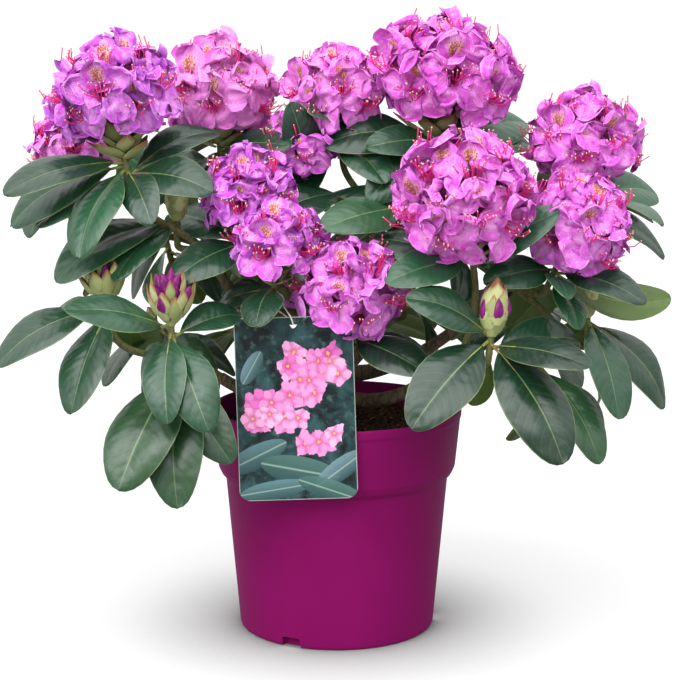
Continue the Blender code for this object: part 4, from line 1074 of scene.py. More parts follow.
def add_opening_truss(pile, shoot, rng):
    """Add the closed flowers of an opening truss, with the scales that they push apart."""
    large = shoot.radius > LARGE_OPENING_R
    side, other = across_frame(shoot.axis)
    foot = shoot.foot + shoot.axis * 0.004
    size = shoot.radius if large else shoot.radius * 1.5
    flowers, scales = 13 if large else 9, 24
    add_tube(pile, [shoot.foot, foot, foot + shoot.axis * size * 0.35], [0.0022, size * 0.26, size * 0.42],
             9, SCALE_SLOT, (0.5, 0, 0))
    for k in range(flowers):
        lean = math.radians(3 + 34 * math.sqrt(k / flowers) + rng.uniform(-6, 6))
        out = at_angle(side, other, GOLDEN * k + rng.uniform(-0.3, 0.3))
        axis = at_angle(shoot.axis, out, lean).normalized()
        length = size * rng.uniform(0.95, 1.45)
        base = foot + shoot.axis * size * (1.30 - 0.75 * k / flowers) + out * size * 0.62 * k / flowers
        add_closed_flower(pile, base, axis, length, size * rng.uniform(0.21, 0.29), rng)
        add_tube(pile, [foot, foot + axis * size * 0.3, base + axis * 0.002], [0.001] * 3, 5, STALK_SLOT)
    # Broad scales cup the lower half, narrower ones stand between the flowers higher up
    for k in range(scales):
        out = at_angle(side, other, GOLDEN * k)
        low = k / scales
        toward = shoot.axis + out * (0.55 - 0.40 * low + rng.uniform(-0.12, 0.12))
        root = foot + shoot.axis * size * 1.25 * low + out * size * (0.18 + 0.62 * math.sin(2.6 * low))
        add_scale(pile, root, toward, out, size * rng.uniform(1.0, 1.35), size * (0.42 - 0.22 * low),
                  size * 0.16, (rng.random(), 0, 0))


# %% A resting bud
def add_resting_bud(pile, foot, axis, length, radius, rng):
    """Add a resting bud: a green core under scales that wind up it."""
    side, other = across_frame(axis)

    def girth(v):
        """The core's radius at a share of its length."""
        return radius * 0.86 * np.sin(math.pi * (0.10 + 0.88 * v ** 0.9)) ** 0.8

    rings = np.linspace(0, 1, 8)
    add_tube(pile, [foot + axis * (length * v) for v in rings], girth(rings), 10, SCALE_SLOT, (0.5, 0, 0))
    scales = 22
    for k in range(scales):
        v = 0.03 + 0.60 * k / scales
        out = at_angle(side, other, GOLDEN * k)
        root = foot + axis * (length * v) + out * (girth(v) + 0.0001)
        tip = foot + axis * (length * min(0.99, v + 0.36)) + out * (girth(min(0.97, v + 0.34)) + 0.0004)
        add_scale(pile, root, tip - root, out, (tip - root).length, radius * 0.55, girth(v) * 0.16,
                  (rng.random(), 0, 0))


# %% Closed petal material
# Closed flower buds: dark magenta skin, darker in the folds, with a few paler streaks
add, shader, CLOSED_PETAL = new_material("closed_petal", roughness=0.45, ior=1.40)
place = add("Attribute", attribute_name="place").outputs["Vector"]
along, fold, _ = add("SeparateXYZ", (place,)).outputs
streak = add("TexNoise", {"Vector": add("TexCoord").outputs["Object"], "Scale": 260, "Detail": 3})
colour = "#8E2080"
for share, over in ((add("MapRange", (along, 0.1, 0.95)), "#680C56"),
                    (add("MapRange", (fold, -1, -0.55, 0.8, 0)), "#5A0A48"),
                    (add("MapRange", (streak, 0.55, 0.75, 0, 0.45)), "#B64AA0")):
    colour = add("Mix", (share, colour, over), "RGBA")
fill(shader, {"Base Color": colour,
              "Normal": add("Bump", {"Height": streak, "Strength": 0.4, "Distance": 0.0004})})

# %% Build the buds
SPLITTING_BUD, SPLIT_FLOWERS = ("foliage_right_front", 1), 5
OLD_SCALES = 13

for mass, (shoots, _) in PLANT.items():
    pile = Pile()
    rng = random.Random(mass + " buds")
    for shoot in shoots:
        side, other = across_frame(shoot.axis)
        if shoot.kind == "opening":
            add_opening_truss(pile, shoot, rng)
        elif shoot.kind == "leafy":
            add_resting_bud(pile, shoot.foot, shoot.axis, 0.017, 0.0045, rng)
        elif shoot.kind == "bud":
            long = (shoot.centre - shoot.foot).length * 2
            add_resting_bud(pile, shoot.foot, shoot.axis, long, shoot.radius, rng)
            for k in range(SPLIT_FLOWERS if (mass, shoot.number) == SPLITTING_BUD else 0):
                out = at_angle(side, other, 2 * math.pi * (k + 0.3) / SPLIT_FLOWERS)
                base = shoot.foot + shoot.axis * long * rng.uniform(0.25, 0.45) + out * shoot.radius * 0.55
                add_closed_flower(pile, base, (shoot.axis + out * 0.15).normalized(), long * 0.40,
                                  shoot.radius * 0.40, rng)
        else:
            # The old bud's scales at the foot of a truss
            grown = 1 if shoot.radius > LARGE_TRUSS_R else 0.55
            for k in range(OLD_SCALES):
                out = at_angle(side, other, GOLDEN * k)
                toward = shoot.axis * rng.uniform(0.5, 1.2) + out
                root = shoot.foot + shoot.axis * (0.001 + 0.0012 * k) + out * 0.003
                add_scale(pile, root, toward, out, shoot.radius * rng.uniform(0.45, 0.68) * grown,
                          shoot.radius * 0.15 * grown, shoot.radius * 0.07 * grown, (rng.random(), 0, 0))
    make_piece(mass + "_buds", pile, [CLOSED_PETAL, GREEN_SHOOT, BUD_SCALE], "plant", (mass,),
               sharp=60)

# %% [markdown]
# ## Wood
#
# The trunk is short and forks close to the soil. Its bark is grey brown and shallowly furrowed, with
# flaking plates 7 mm across. Twigs are smoother and greener, and keep the rings where older leaves fell.
# A displaced surface would need millions of faces to show furrows everywhere, so the large furrows are in
# the mesh, moved by noise in code, and the fine grain is in the bump of the bark.


# %% Limbs
def add_limb(pile, route, radii, sides, rough, seed, kind=0.0):
    """Add a tube whose surface is moved in and out by noise that is stretched along it."""
    length, previous, relief = 0, route[0], []
    for point in route:
        length += (point - previous).length
        previous = point
        for k in range(sides):
            x, y = math.cos(2 * math.pi * k / sides), math.sin(2 * math.pi * k / sides)
            ridge = noise.noise(Vector((x * 2.2, y * 2.2, length * 28)) + seed)
            knob = noise.noise(Vector((x * 0.8, y * 0.8, length * 55)) + seed * 2)
            relief.append(1 + rough * ridge + 0.5 * rough * knob)
    add_tube(pile, route, radii, sides, kind=kind, relief=np.array(relief))


FORK_R, TRUNK_TAPER, ROOT_FLARE = 0.0090, 0.0022, 0.0086


def trunk_radius(down):
    """The trunk's radius from its fork, at 0, down to the soil, at 1."""
    return FORK_R + TRUNK_TAPER * down + ROOT_FLARE * math.exp(5 * (down - 1))


# %% Bark material
# Bark: grey-brown furrowed plates, greener and smoother on young wood
add, shader, BARK = new_material("furrowed_bark", roughness=0.85)
youth = add("SeparateXYZ", (add("Attribute", attribute_name="place").outputs["Vector"],)).outputs["Z"]
long = add("Mapping", {"Vector": add("TexCoord").outputs["Object"], "Scale": (1, 1, 0.35)})
furrow = add("TexNoise", {"Vector": long, "Scale": 260, "Detail": 6, "Roughness": 0.65})
plate = add("TexVoronoi", {"Vector": long, "Scale": 150}, feature="DISTANCE_TO_EDGE")
crack = add("MapRange", (plate, 0, 0.12, 1, 0))
old = add("Mix", (furrow, "#3E3326", "#8A7A62"), "RGBA")
young = add("Mix", (furrow, "#4F5230", "#7F8150"), "RGBA")
skin = add("Mix", (youth, old, young), "RGBA")
dark = add("Math", (crack, add("MapRange", (youth, 0, 1, 0.6, 0.1))), "MULTIPLY")
height = add("Math", (crack, -0.6, furrow), "MULTIPLY_ADD")
fill(shader, {"Base Color": add("Mix", (dark, skin, "#2A2118"), "RGBA"),
              "Normal": add("Bump", {"Height": height, "Strength": 0.9, "Distance": 0.0012})})

# %% Trunk and boughs
TRUNK_STEPS, LIMB_STEPS = 36, 44
pile = Pile()
radii = [trunk_radius(1 - k / TRUNK_STEPS) for k in range(TRUNK_STEPS + 1)]
add_limb(pile, smooth_route(TRUNK_POINTS, TRUNK_STEPS), radii, 36, 0.10, Vector((3, 1, 7)))
for number, (_, points, first, last) in enumerate(LIMBS):
    radii = [first + (last - first) * k / LIMB_STEPS + 0.0030 * math.exp(-k / 5)
             for k in range(LIMB_STEPS + 1)]
    add_limb(pile, smooth_route(points, LIMB_STEPS), radii, 20, 0.07, Vector((number, 5, 2)))
make_piece("trunk_and_boughs", pile, [BARK], "plant", ("trunk", *(row[0] for row in LIMBS)),
           sharp=180)

# %% Twigs with their leaf scars
for mass, (shoots, (start, fork)) in PLANT.items():
    pile = Pile()
    stem = [start + (fork - start) * k / 6 for k in range(7)]
    add_limb(pile, stem, [STEM_R] * 7, 12, 0.06, Vector((1, 2, 3)), kind=0.5)
    for shoot in shoots:
        straight, end, radii = shoot.route[-1], shoot.foot + shoot.axis * 0.002, []
        route = shoot.route + [straight + (end - straight) * k / 8 for k in range(1, 9)]
        for k in range(len(route)):
            share = k / (len(route) - 1)
            scar = 0.10 if k > len(route) - 9 and k % 2 else 0
            radii.append((STEM_R * 0.8 + (TWIG_R * 0.92 - STEM_R * 0.8) * share) * (1 + scar))
        if shoot.kind == "head":
            route.append(shoot.foot + shoot.axis * 0.016)
            radii.append(TWIG_R * 0.55)
        add_limb(pile, route, radii, 10, 0.05, Vector((shoot.number, 4, 9)), kind=1.0)
    make_piece(mass + "_twigs", pile, [BARK], "plant", (mass,), sharp=60)

# %% [markdown]
# ## The pot
#
# The pot is injection-moulded polypropylene: one thin wall, a deep band under a rolled rim so that pots
# stack, and three notches at the foot that let water out. A turned profile gives all of it but the
# notches, and they are cut by a Boolean with a rounded block, which leaves a crisp moulded edge.

# %% Profile of the pot
POT_HEIGHT, POT_RIM_R, POT_BASE_R, POT_WALL = 0.201, 0.1125, 0.088, 0.0024
POT_BODY_TOP_R, POT_BODY_TOP = 0.1003, 0.138
POT_BAND_FOOT_R, POT_BAND_FOOT, POT_BAND_TOP_R = 0.1070, 0.148, 0.1114


def rounded(points, radius, steps=4):
    """A profile with each inner corner turned into a short arc, as a mould has."""
    made = [points[0]]
    for before, corner, after in zip(points, points[1:], points[2:]):
        back, on = (Vector(before) - Vector(corner)), (Vector(after) - Vector(corner))
        cut = min(radius, back.length * 0.45, on.length * 0.45)
        a, b = Vector(corner) + back.normalized() * cut, Vector(corner) + on.normalized() * cut
        made += [tuple(a * (1 - t) ** 2 + Vector(corner) * 2 * t * (1 - t) + b * t ** 2)
                 for t in (k / steps for k in range(steps + 1))]
    return made + [points[-1]]


pot_outside = [(0.0, 0.0030), (0.062, 0.0030), (0.064, 0.0), (POT_BASE_R - 0.0005, 0.0),
               (POT_BASE_R + 0.0003, 0.0030), (POT_BODY_TOP_R, POT_BODY_TOP),
               (POT_BODY_TOP_R + 0.0040, POT_BODY_TOP + 0.0040), (POT_BAND_FOOT_R, POT_BAND_FOOT),
               (POT_BAND_TOP_R, POT_HEIGHT - 0.0095), (POT_RIM_R - 0.0002, POT_HEIGHT - 0.0075),
               (POT_RIM_R, POT_HEIGHT - 0.0010), (POT_RIM_R - 0.0009, POT_HEIGHT)]
pot_inside = [(POT_RIM_R - 0.0026, POT_HEIGHT), (POT_BAND_TOP_R - POT_WALL, POT_HEIGHT - 0.0030),
              (POT_BAND_FOOT_R - POT_WALL, POT_BAND_FOOT + 0.001), (POT_BODY_TOP_R - POT_WALL, POT_BODY_TOP),
              (POT_BASE_R - POT_WALL, 0.0054), (0.0, 0.0054)]
profile = rounded(pot_outside + pot_inside, 0.0012)
print("the profile has", len(profile), "points")

# %% Turn the pot
POT_TURNS = 180
inner = np.array(profile[1:-1])
angles = 2 * np.pi * np.arange(POT_TURNS) / POT_TURNS
rings = np.stack([np.outer(inner[:, 0], np.cos(angles)), np.outer(inner[:, 0], np.sin(angles)),
                  np.repeat(inner[:, 1][:, None], POT_TURNS, axis=1)], axis=2).reshape(-1, 3)
centre_points = np.array([(0, 0, profile[0][1]), (0, 0, profile[-1][1])])
low_cap = fan_faces(len(rings), 0, POT_TURNS, flip=True)
high_cap = fan_faces(len(rings) + 1, len(rings) - POT_TURNS, POT_TURNS)
pile = Pile()
pile.add(np.concatenate([rings, centre_points]), (tube_faces(len(inner), POT_TURNS), low_cap, high_cap))

# %% Pot finish: moulded polypropylene
# The colour is a strong magenta right through. The mould's fine spark grain spreads the gloss so far that
# the wall looks almost flat, which a roughness of 0.44 to 0.54 and a weak specular give. The grain is
# 0.35 mm here, about twice the real one, because finer grain would only be noise at this distance.
add, shader, POT_PLASTIC = new_material("moulded_polypropylene", roughness=0.48, ior=1.49)
position = add("TexCoord").outputs["Object"]
grain = add("TexNoise", {"Vector": position, "Scale": 2800, "Detail": 2})
flow = add("TexNoise", {"Vector": position, "Scale": 14, "Detail": 4})
share = add("MapRange", (flow, 0.35, 0.70))
fill(shader, {"Base Color": add("Mix", (share, "#7C0B55", "#820D5B"), "RGBA"), "Specular IOR Level": 0.07,
              "Roughness": add("MapRange", (flow, 0.3, 0.7, 0.44, 0.54)),
              "Normal": add("Bump", {"Height": grain, "Strength": 0.12, "Distance": 0.0003})})

# %% Cut the drain notches
NOTCH_AZIMUTH, NOTCH_WIDTH, NOTCH_HEIGHT, NOTCH_DEPTH = -117, 0.019, 0.0085, 0.0065
pot = make_piece("moulded_pot", pile, [POT_PLASTIC], "plant", ("pot",), sharp=35)
blocks = bpy.data.collections.new("notch_blocks")
bpy.context.scene.collection.children.link(blocks)
for number in range(3):
    turn = Matrix.Rotation(math.radians(NOTCH_AZIMUTH + 120 * number), 4, "Z")
    block_mesh = bpy.data.meshes.new("notch_block")
    corners = [turn @ Vector((x, y, z))
               for z, half in ((-0.004, NOTCH_WIDTH / 2), (NOTCH_HEIGHT - 0.0012, NOTCH_WIDTH / 2 - 0.0008),
                               (NOTCH_HEIGHT, NOTCH_WIDTH / 2 - 0.0022))
               for x, y in ((POT_BASE_R - NOTCH_DEPTH, -half), (POT_BASE_R + 0.006, -half),
                            (POT_BASE_R + 0.006, half), (POT_BASE_R - NOTCH_DEPTH, half))]
    sides = [(a + r, b + r, b + r + 4, a + r + 4)
             for r in (0, 4) for a, b in ((0, 1), (1, 2), (2, 3), (3, 0))]
    block_mesh.from_pydata(corners, [], sides + [(3, 2, 1, 0), (8, 9, 10, 11)])
    blocks.objects.link(bpy.data.objects.new(f"notch_block_{number}", block_mesh))
cut = pot.modifiers.new("notches", "BOOLEAN")
cut.operand_type = "COLLECTION"
cut.collection = blocks
cut.solver = "EXACT"
notched = bpy.data.meshes.new_from_object(pot.evaluated_get(bpy.context.evaluated_depsgraph_get()))
pot.modifiers.clear()
pot.data = notched
notched.shade_smooth()
notched.set_sharp_from_angle(angle=math.radians(35))
for block in list(blocks.objects):
    bpy.data.objects.remove(block, do_unlink=True)
bpy.data.collections.remove(blocks)
print("pot after its notches:", len(notched.polygons), "faces")

# %% [markdown]
# ## Soil
#
# Rhododendrons grow in acid peat: nearly black, fibrous, with crumbs of a few millimetres, flakes of bark
# and thin pale roots. A bumpy disc alone looks like felt, so the disc only closes the surface, and some
# thousands of separate crumbs and chips lie on it, each a small lump turned its own way.

# %% Soil surface
SOIL_ROWS, SOIL_TURNS = 46, 120
SOIL_OUTER = POT_BAND_TOP_R - POT_WALL - 0.0006
SOIL_FOOT, SOIL_FOOT_R = 0.120, 0.0955
SOIL_TOP, MOUND, MOUND_R = 0.1800, 0.0042, 0.105


def soil_height(x, y):
    """Height of the soil: a shallow mound about the trunk with lumps on it."""
    out = math.hypot(x, y)
    mound = SOIL_TOP + MOUND * (1 - min(1, out / MOUND_R) ** 2)
    lumps = 0.0016 * noise.noise(Vector((x, y, 0)) * 45)
    return mound + lumps + 0.0007 * noise.noise(Vector((x, y, 1)) * 150)


pile = Pile()
soil_points = []
turns = [2 * math.pi * k / SOIL_TURNS for k in range(SOIL_TURNS)]
for row in range(SOIL_ROWS):
    out = SOIL_OUTER * (row + 1) / SOIL_ROWS
    for x, y in ((out * math.cos(angle), out * math.sin(angle)) for angle in turns):
        soil_points.append((x, y, soil_height(x, y)))
soil_points += [(SOIL_FOOT_R * math.cos(angle), SOIL_FOOT_R * math.sin(angle), SOIL_FOOT) for angle in turns]
soil_points += [(0, 0, soil_height(0, 0)), (0, 0, SOIL_FOOT)]
top_fan = fan_faces(len(soil_points) - 2, 0, SOIL_TURNS)
low_fan = fan_faces(len(soil_points) - 1, SOIL_ROWS * SOIL_TURNS, SOIL_TURNS, flip=True)
pile.add(soil_points, (tube_faces(SOIL_ROWS + 1, SOIL_TURNS)[:, ::-1], top_fan, low_fan))

# %% Crumbs and bark chips
CRUMBS, CHIPS = 5200, 420
CRUMB_SIZES = (0.0007, 0.0010, 0.0013, 0.0019)
CHIP_SIZE = ((0.0025, 0.0060), (0.0012, 0.0024), (0.0004, 0.0008))
LUMP = np.array([(1, 1, 0), (-1, 1, 0), (-1, -1, 0), (1, -1, 0), (0.6, 0.2, 1), (-0.5, 0.5, 0.9),
                 (-0.3, -0.6, 1), (0.4, 0.5, -1), (-0.6, -0.1, -0.9), (0.3, -0.6, -1)])
LUMP_FACES = np.array([(0, 1, 5), (0, 5, 4), (1, 2, 5), (2, 6, 5), (2, 3, 6), (3, 4, 6), (3, 0, 4),
                       (4, 5, 6), (1, 0, 7), (1, 7, 8), (2, 1, 8), (2, 8, 9), (3, 2, 9), (0, 3, 9),
                       (0, 9, 7), (7, 9, 8)])
rng = random.Random("soil")


def any_place(rng, reach):
    """A random place within a reach of the middle, as its distance from there, x and y."""
    out, angle = reach * math.sqrt(rng.random()), rng.uniform(0, 2 * math.pi)
    return out, out * math.cos(angle), out * math.sin(angle)


def any_turn(rng, flat):
    """A random rotation, kept near level where flat is 1."""
    tilt = Vector((rng.gauss(0, 1), rng.gauss(0, 1), 0)).normalized()
    lean = Matrix.Rotation(rng.gauss(0, 1.2 - flat), 3, tilt)
    return np.array(lean @ Matrix.Rotation(rng.uniform(0, 6.28), 3, "Z"))


for number in range(CRUMBS + CHIPS):
    chip = number >= CRUMBS
    out, x, y = any_place(rng, SOIL_OUTER * 0.985)
    if chip:
        size = np.array([rng.uniform(*span) for span in CHIP_SIZE])
    else:
        size = drawn(rng, 3, 0.6, 1.2) * rng.choice(CRUMB_SIZES)
    if out + max(size) * 1.2 > SOIL_OUTER:
        continue
    centre = np.array([x, y, soil_height(x, y) + size[2] * rng.uniform(0.1, 0.9)])
    turn = any_turn(rng, 0.9 if chip else 0.0)
    pile.add(centre + (LUMP * size) @ turn.T, LUMP_FACES, 0, None, (rng.random(), 1.0 if chip else 0.0, 0))

# %% Roots
ROOTS, ROOT_STEPS, ROOT_STEP, ROOT_R = 26, 9, 0.003, 0.00035
for number in range(ROOTS):
    _, x, y = any_place(rng, 0.095)
    way, bend = rng.uniform(0, 2 * math.pi), rng.uniform(-0.30, 0.30)
    route = []
    for step in range(ROOT_STEPS):
        if math.hypot(x, y) < SOIL_OUTER - ROOT_STEP:
            route.append((x, y, soil_height(x, y) + 0.0012))
        x, y = x + ROOT_STEP * math.cos(way), y + ROOT_STEP * math.sin(way)
        way += bend
    if len(route) > 3:
        add_tube(pile, route, [ROOT_R] * len(route), 4, 0, (0.5, 2.0, 0))

# %% Soil finish: damp peat
# Damp peat is nearly black and has no gloss, with paler bark flakes and straw-coloured roots
add, shader, DAMP_PEAT = new_material("damp_peat", roughness=0.92)
tone, kind, _ = add("SeparateXYZ", (add("Attribute", attribute_name="tint").outputs["Vector"],)).outputs
fibre = add("TexNoise", {"Vector": add("TexCoord").outputs["Object"], "Scale": 420, "Detail": 5,
                         "Roughness": 0.7})
colour = "#120C08"
for share, over in ((fibre, "#4A3526"), (add("Math", (tone, 0.45), "MULTIPLY"), "#5A4330"),
                    (add("MapRange", (kind, 0.4, 1, 0, 0.6)), "#6B4A32"),
                    (add("MapRange", (kind, 1.2, 2, 0, 0.8)), "#A98F62")):
    colour = add("Mix", (share, colour, over), "RGBA")
fill(shader, {"Base Color": colour, "Specular IOR Level": 0.25,
              "Normal": add("Bump", {"Height": fibre, "Strength": 0.8, "Distance": 0.001})})

make_piece("peat_and_crumbs", pile, [DAMP_PEAT], "plant", ("soil",), sharp=60)

# %% [markdown]
# ## The picture label
#
# The label is a plastic card, printed on the front and laminated, with rounded corners and a punched hole.
# Its picture here is a generic one: a few loose bunches of five-petalled blossom over a dim leafy ground
# with broad leaves along its foot. Nothing is read from an image. A Voronoi texture gives a centre for
# each blossom, the angle and distance from that centre give its petals, and only the blossoms whose centre
# lies inside a bunch are drawn.

# %% Card shape
LABEL_W, LABEL_H, LABEL_THICK, LABEL_CORNER = 0.1, 0.155, 0.0008, 0.009
LABEL_HOLE_R, HOLE_DROP = 0.0032, 0.0065
LABEL_PLACE = (Matrix.Translation((-0.0365, -0.1049, 0.2985)) @ Matrix.Rotation(math.radians(-1.8), 4, "Y")
               @ Matrix.Rotation(math.radians(-4.9), 4, "X"))


def card_outline(inset):
    """The card's rounded outline as (across, up), drawn in by inset."""
    made, radius = [], LABEL_CORNER - inset
    for side, low, start in ((1, 0, 0), (-1, 0, 90), (-1, 1, 180), (1, 1, 270)):
        across = side * (LABEL_W / 2 - LABEL_CORNER)
        up = LABEL_CORNER - LABEL_H if low else -LABEL_CORNER
        for angle in (math.radians(start + 7.5 * k) for k in range(13)):
            made.append((across + radius * math.cos(angle), up + radius * math.sin(angle)))
    return made


# %% Card rings: front, edge, back and the wall of the hole
edge_round = 0.0003
half_thick = LABEL_THICK / 2
outer = card_outline(0)
card_rings = []
for inset, y in ((edge_round, -half_thick), (0, -half_thick + edge_round), (0, half_thick - edge_round),
                 (edge_round, half_thick)):
    card_rings.append([(x, y, z) for x, z in card_outline(inset)])
toward = [math.atan2(z + HOLE_DROP, x) for x, z in outer]
for radius, y in ((LABEL_HOLE_R, half_thick), (LABEL_HOLE_R, -half_thick)):
    card_rings.append([(radius * math.cos(a), y, radius * math.sin(a) - HOLE_DROP) for a in toward])
card_points = np.array(card_rings).reshape(-1, 3)
# The last ring joins the first again
card_faces = tube_faces(len(card_rings) + 1, len(outer)) % len(card_points)
x, y, z = card_points.T
place = np.stack([x * 10, z * 10, (y < 0).astype(float)], axis=1)
card_world = np.array([LABEL_PLACE @ Vector(point) for point in card_points])
pile = Pile()
pile.add(card_world, card_faces, 0, place)

# %% Printed leaves
# The place runs in decimetres, from -0.5 to 0.5 across and from 0 down to -1.55. A leaf is its centre, half
# its length and width, and its turn.
PRINTED_LEAVES = ((-0.36, -1.18, 0.30, 0.10, 25), (0.02, -1.30, 0.34, 0.12, -12),
                  (0.36, -1.30, 0.26, 0.09, 35), (-0.20, -1.46, 0.30, 0.08, 8),
                  (0.28, -1.48, 0.30, 0.09, -20), (-0.36, -0.42, 0.16, 0.07, 60))


def printed_leaf(add, flat, row, picture, tone):
    """Draw one leaf of the print over the picture: an ellipse, lighter to one side, with a pale rib."""
    x, z, long, wide, turn = row
    moved = add("VectorMath", (flat, (x, z, 0)), "SUBTRACT")
    level = add("Mapping", {"Vector": moved, "Rotation": (0, 0, math.radians(-turn))})
    fitted = add("VectorMath", (level, (1 / long, 1 / wide, 0)), "MULTIPLY")
    across = add("SeparateXYZ", (fitted,)).outputs["Y"]
    off = add("Math", (across,), "ABSOLUTE")
    body = add("Mix", (add("MapRange", (across, -1, 1)), "#2B4B4C", tone), "RGBA")
    ribbed = add("Mix", (add("MapRange", (off, 0.02, 0.10, 0.6, 0)), body, "#A9C3B2"), "RGBA")
    reach = add("VectorMath", (fitted,), "LENGTH")
    return add("Mix", (add("MapRange", (reach, 0.97, 1, 0.9, 0)), picture, ribbed), "RGBA")


# %% Printed blossoms
# A bunch is its centre and radius
BUNCHES = ((0.15, -0.47, 0.24), (-0.17, -0.80, 0.21), (0.22, -1.06, 0.15))


def printed_blossoms(add, flat, scale, shift, picture):
    """Draw one layer of blossoms: five ruffled petals about each cell's centre inside a bunch."""
    moved = add("VectorMath", (flat, (shift, shift, 0)), "ADD")
    cell = add("TexVoronoi", {"Vector": moved, "Scale": scale, "Randomness": 0.7}, voronoi_dimensions="2D")
    centre = cell.outputs["Position"]
    away = add("VectorMath", (moved, centre), "SUBTRACT")
    away_x, away_y, _ = add("SeparateXYZ", (away,)).outputs
    angle = add("Math", (away_y, away_x), "ARCTAN2")
    turn, pink, _ = add("SeparateColor", (cell.outputs["Color"],)).outputs
    petals = add("Math", (turn, 6.28), "MULTIPLY")
    petals = add("Math", (angle, 5, petals), "MULTIPLY_ADD")
    petals = add("Math", (petals,), "COSINE")
    reach = add("Math", (petals, 0.10 / scale, 0.56 / scale), "MULTIPLY_ADD")
    share = add("Math", (add("VectorMath", (away,), "LENGTH"), reach), "DIVIDE")
    back = add("VectorMath", (centre, (shift, shift, 0)), "SUBTRACT")
    inside = 0
    for x, z, radius in BUNCHES:
        gap = add("VectorMath", (back, (x, z, 0)), "DISTANCE")
        near = add("Math", (gap, radius), "LESS_THAN")
        inside = add("Math", (near, inside), "MAXIMUM")
    shown = add("Math", (add("MapRange", (share, 0.97, 1.03, 1, 0)), inside), "MULTIPLY")
    petal = "#DE6FBB"
    for part, over in ((pink, "#F2B4DA"), (add("MapRange", (petals, -1, 0.2, 0.6, 0)), "#B9509A"),
                       (add("MapRange", (share, 0.08, 0.50, 0.9, 0)), "#C02A72"),
                       (add("Math", (share, 0.13), "LESS_THAN"), "#E9B565")):
        petal = add("Mix", (part, petal, over), "RGBA")
    return add("Mix", (shown, picture, petal), "RGBA")


# %% Card finish: printed and laminated
# A film laminated over the print gives it a smooth, soft gloss that dulls its dark ground a little. The
# back is plain white
add, shader, PRINTED_CARD = new_material("laminated_print", roughness=0.30, ior=1.50)
place = add("Attribute", attribute_name="place").outputs["Vector"]
across, up, front = add("SeparateXYZ", (place,)).outputs
flat = add("VectorMath", (place, (1, 1, 0)), "MULTIPLY")
blur = add("TexNoise", {"Vector": flat, "Scale": 4.5, "Detail": 3, "Distortion": 0.8})
fine = add("TexNoise", {"Vector": flat, "Scale": 15, "Detail": 4})
picture = add("Mix", (add("MapRange", (blur, 0.38, 0.68)), "#0E171B", "#2F5154"), "RGBA")
picture = add("Mix", (add("MapRange", (fine, 0.54, 0.76, 0, 0.5)), picture, "#5F857E"), "RGBA")
for k, row in enumerate(PRINTED_LEAVES):
    picture = printed_leaf(add, flat, row, picture, ("#62858A", "#4F736C", "#728F98")[k % 3])
ruffle = add("TexNoise", {"Vector": flat, "Scale": 26, "Detail": 2})
warped = add("VectorMath", (ruffle.outputs["Color"], (0.035, 0.035, 0), flat), "MULTIPLY_ADD")
for scale, shift in ((5.4, 0), (5, 3.1), (5.8, 7.3)):
    picture = printed_blossoms(add, warped, scale, shift, picture)

# The unprinted edge all round
off = add("Math", (across,), "ABSOLUTE")
side_edge = add("Math", (off, 0.494), "GREATER_THAN")
top_edge = add("Math", (up, -0.006), "GREATER_THAN")
foot_edge = add("Math", (up, -1.544), "LESS_THAN")
edge = add("Math", (add("Math", (side_edge, top_edge), "MAXIMUM"), foot_edge), "MAXIMUM")
printed = add("Mix", (edge, picture, "#AEB8B0"), "RGBA")
film = add("TexNoise", {"Vector": flat, "Scale": 9, "Detail": 2})
fill(shader, {"Base Color": add("Mix", (front, "#ECEBE4", printed), "RGBA"), "Specular IOR Level": 0.25,
              "Normal": add("Bump", {"Height": film, "Strength": 0.15, "Distance": 0.0008})})

make_piece("picture_card", pile, [PRINTED_CARD], "label", ("label",), sharp=40)

# %% [markdown]
# ## The thread
#
# The label hangs on a loop of white twine that goes through its hole, over its top edge and round the twig
# above. Twine is two strands laid round each other, which shows as fine slanted ridges. Two tubes that wind
# about one route give those ridges for certain, where a bump texture would only shade them.

# %% Route of the loop
KNOT_DOWN, KNOT_HALF, LOOP_STEPS = 0.015, 0.0045, 24
knot_shoot = PLANT["foliage_front"][0][1]
hole = LABEL_PLACE @ Vector((0, 0, -HOLE_DROP))
knot = knot_shoot.foot - knot_shoot.axis * KNOT_DOWN
back = knot - hole
back = (back - knot_shoot.axis * back.dot(knot_shoot.axis)).normalized()
aside = knot_shoot.axis.cross(back) * KNOT_HALF
over_card = ((-0.0004, -0.0020, -0.0048), (-0.0016, -0.0024, -0.0008), (-0.0040, -0.0004, 0.0034))
knots = [hole, *(LABEL_PLACE @ Vector(p) for p in over_card),
         knot - aside, knot + back * KNOT_HALF, knot + aside,
         LABEL_PLACE @ Vector((-0.0006, 0.0030, -0.0045))]
loop_route = []
for i in range(len(knots)):
    a, b, c, d = (knots[(i + n) % len(knots)] for n in (-1, 0, 1, 2))
    loop_route += [0.5 * (2 * b + (c - a) * t + (2 * a - 5 * b + 4 * c - d) * t * t
                          + (3 * b - a - 3 * c + d) * t ** 3)
                   for t in (k / LOOP_STEPS for k in range(LOOP_STEPS))]
loop_route.append(loop_route[0])
gone, winding = 0, []
for k, point in enumerate(loop_route):
    gone += (point - loop_route[k - 1]).length if k else 0
    winding.append(gone)
print("the thread's loop is", round(1000 * gone), "mm long")

# %% Two strands that wind about the route
THREAD_R, STRAND_TURN = 0.0007, 0.0021
turns = round(gone / STRAND_TURN)
pile = Pile()
for strand in (0, 1):
    route, side = [], Vector((0, 0, 1))
    for k, point in enumerate(loop_route):
        ahead = (loop_route[(k + 1) % (len(loop_route) - 1)] - loop_route[k - 1 if k else -2]).normalized()
        side = (side - ahead * side.dot(ahead)).normalized()
        angle = 2 * math.pi * turns * winding[k] / gone + math.pi * strand
        route.append(point + at_angle(side, ahead.cross(side), angle) * THREAD_R * 0.45)
    add_tube(pile, route, [THREAD_R * 0.55] * len(route), 8)

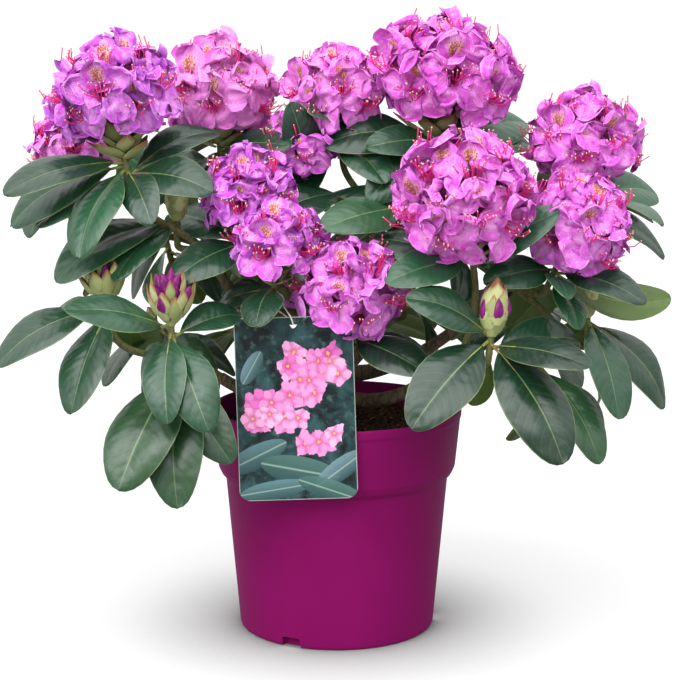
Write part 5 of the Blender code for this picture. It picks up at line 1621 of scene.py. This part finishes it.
# %% Thread finish: bleached twine
# Bleached twine is matt and nearly white, and its fine fibres break up the light
add, shader, BLEACHED_TWINE = new_material("bleached_twine", roughness=0.8)
fibre = add("TexNoise", {"Vector": add("TexCoord").outputs["Object"], "Scale": 1800, "Detail": 3})
fill(shader, {"Base Color": add("Mix", (fibre, "#D8D2C6", "#F6F3EC"), "RGBA"),
              "Normal": add("Bump", {"Height": fibre, "Strength": 0.5, "Distance": 0.0002})})

make_piece("twine_loop", pile, [BLEACHED_TWINE], "plant", ("label_thread",), sharp=180)

# %% [markdown]
# ## Studio
#
# The plant stands on white paper in a shadowless tent: light comes from everywhere, most of it from above,
# and only a soft grey pool lies about the pot's foot. A white world that is brightest overhead does most of
# that. A wide soft sun above and in front and a window lamp at the front left give the leaves their sheen.
# A glow painted on the paper for the camera whitens it, and a painted shadow deepens the pool at the foot.

# %% Paper floor
floor_mesh = bpy.data.meshes.new("paper_floor")
corners = [(x, y, -0.0005) for x, y in ((-6, -3), (6, -3), (6, 9), (-6, 9))]
floor_mesh.from_pydata(corners, [], [(0, 1, 2, 3)])
floor = bpy.data.objects.new("paper_floor", floor_mesh)
bpy.context.scene.collection.objects.link(floor)
add, shader, paper = new_material("white_paper", roughness=0.9)
tooth = add("TexNoise", {"Vector": add("TexCoord").outputs["Object"], "Scale": 3})
# To the camera the paper glows with a painted light, so that it burns out to white but for a painted shadow,
# a soft dark pool close about the pot's foot, where the pot shuts the light out
open_air = add("AmbientOcclusion", {"Distance": 0.14}).outputs["AO"]
painted_glow = add("MapRange", (open_air, 0.50, 0.97, 0, 0.60))
seen = add("LightPath").outputs["Is Camera Ray"]
fill(shader, {"Base Color": add("Mix", (tooth, "#8C8C8C", "#909090"), "RGBA"), "Specular IOR Level": 0.1,
              "Emission Color": "#FFFFFF",
              "Emission Strength": add("Math", (seen, painted_glow), "MULTIPLY")})
floor_mesh.materials.append(paper)

# %% Tent and lamps
# Behind the plant the tent is burnt out to pure white for the camera
world = bpy.data.worlds.new("studio")
bpy.context.scene.world = world
world.use_nodes = True
add = partial(add_node, world.node_tree)
ray = add("TexCoord").outputs["Generated"]
overhead = add("VectorMath", (ray, (-0.12, -0.14, 0.98)), "DOT_PRODUCT")
tent_light = add("MapRange", (overhead, -0.25, 1, 0.26, 2.15))
seen = add("LightPath").outputs["Is Camera Ray"]
fill(world.node_tree.nodes["Background"],
     {"Color": "#FFFFFF", "Strength": add("Mix", (seen, tent_light, 1.05))})
for name, kind, place, wide, size, power in (
        ("tent_top", "SUN", (-0.15, -1.10, 2.1), "angle", math.radians(60), 1.80),
        ("left_window", "AREA", (-1.2, -1.4, 1.3), "size", 1.2, 14)):
    lamp = bpy.data.lights.new(name, kind)
    setattr(lamp, wide, size)
    lamp.energy = power
    holder = bpy.data.objects.new(name, lamp)
    holder.location = place
    holder.rotation_euler = (Vector((0, 0, 0.3)) - Vector(place)).to_track_quat("-Z", "Y").to_euler()
    bpy.context.scene.collection.objects.link(holder)
bpy.context.scene.view_settings.view_transform = "Standard"
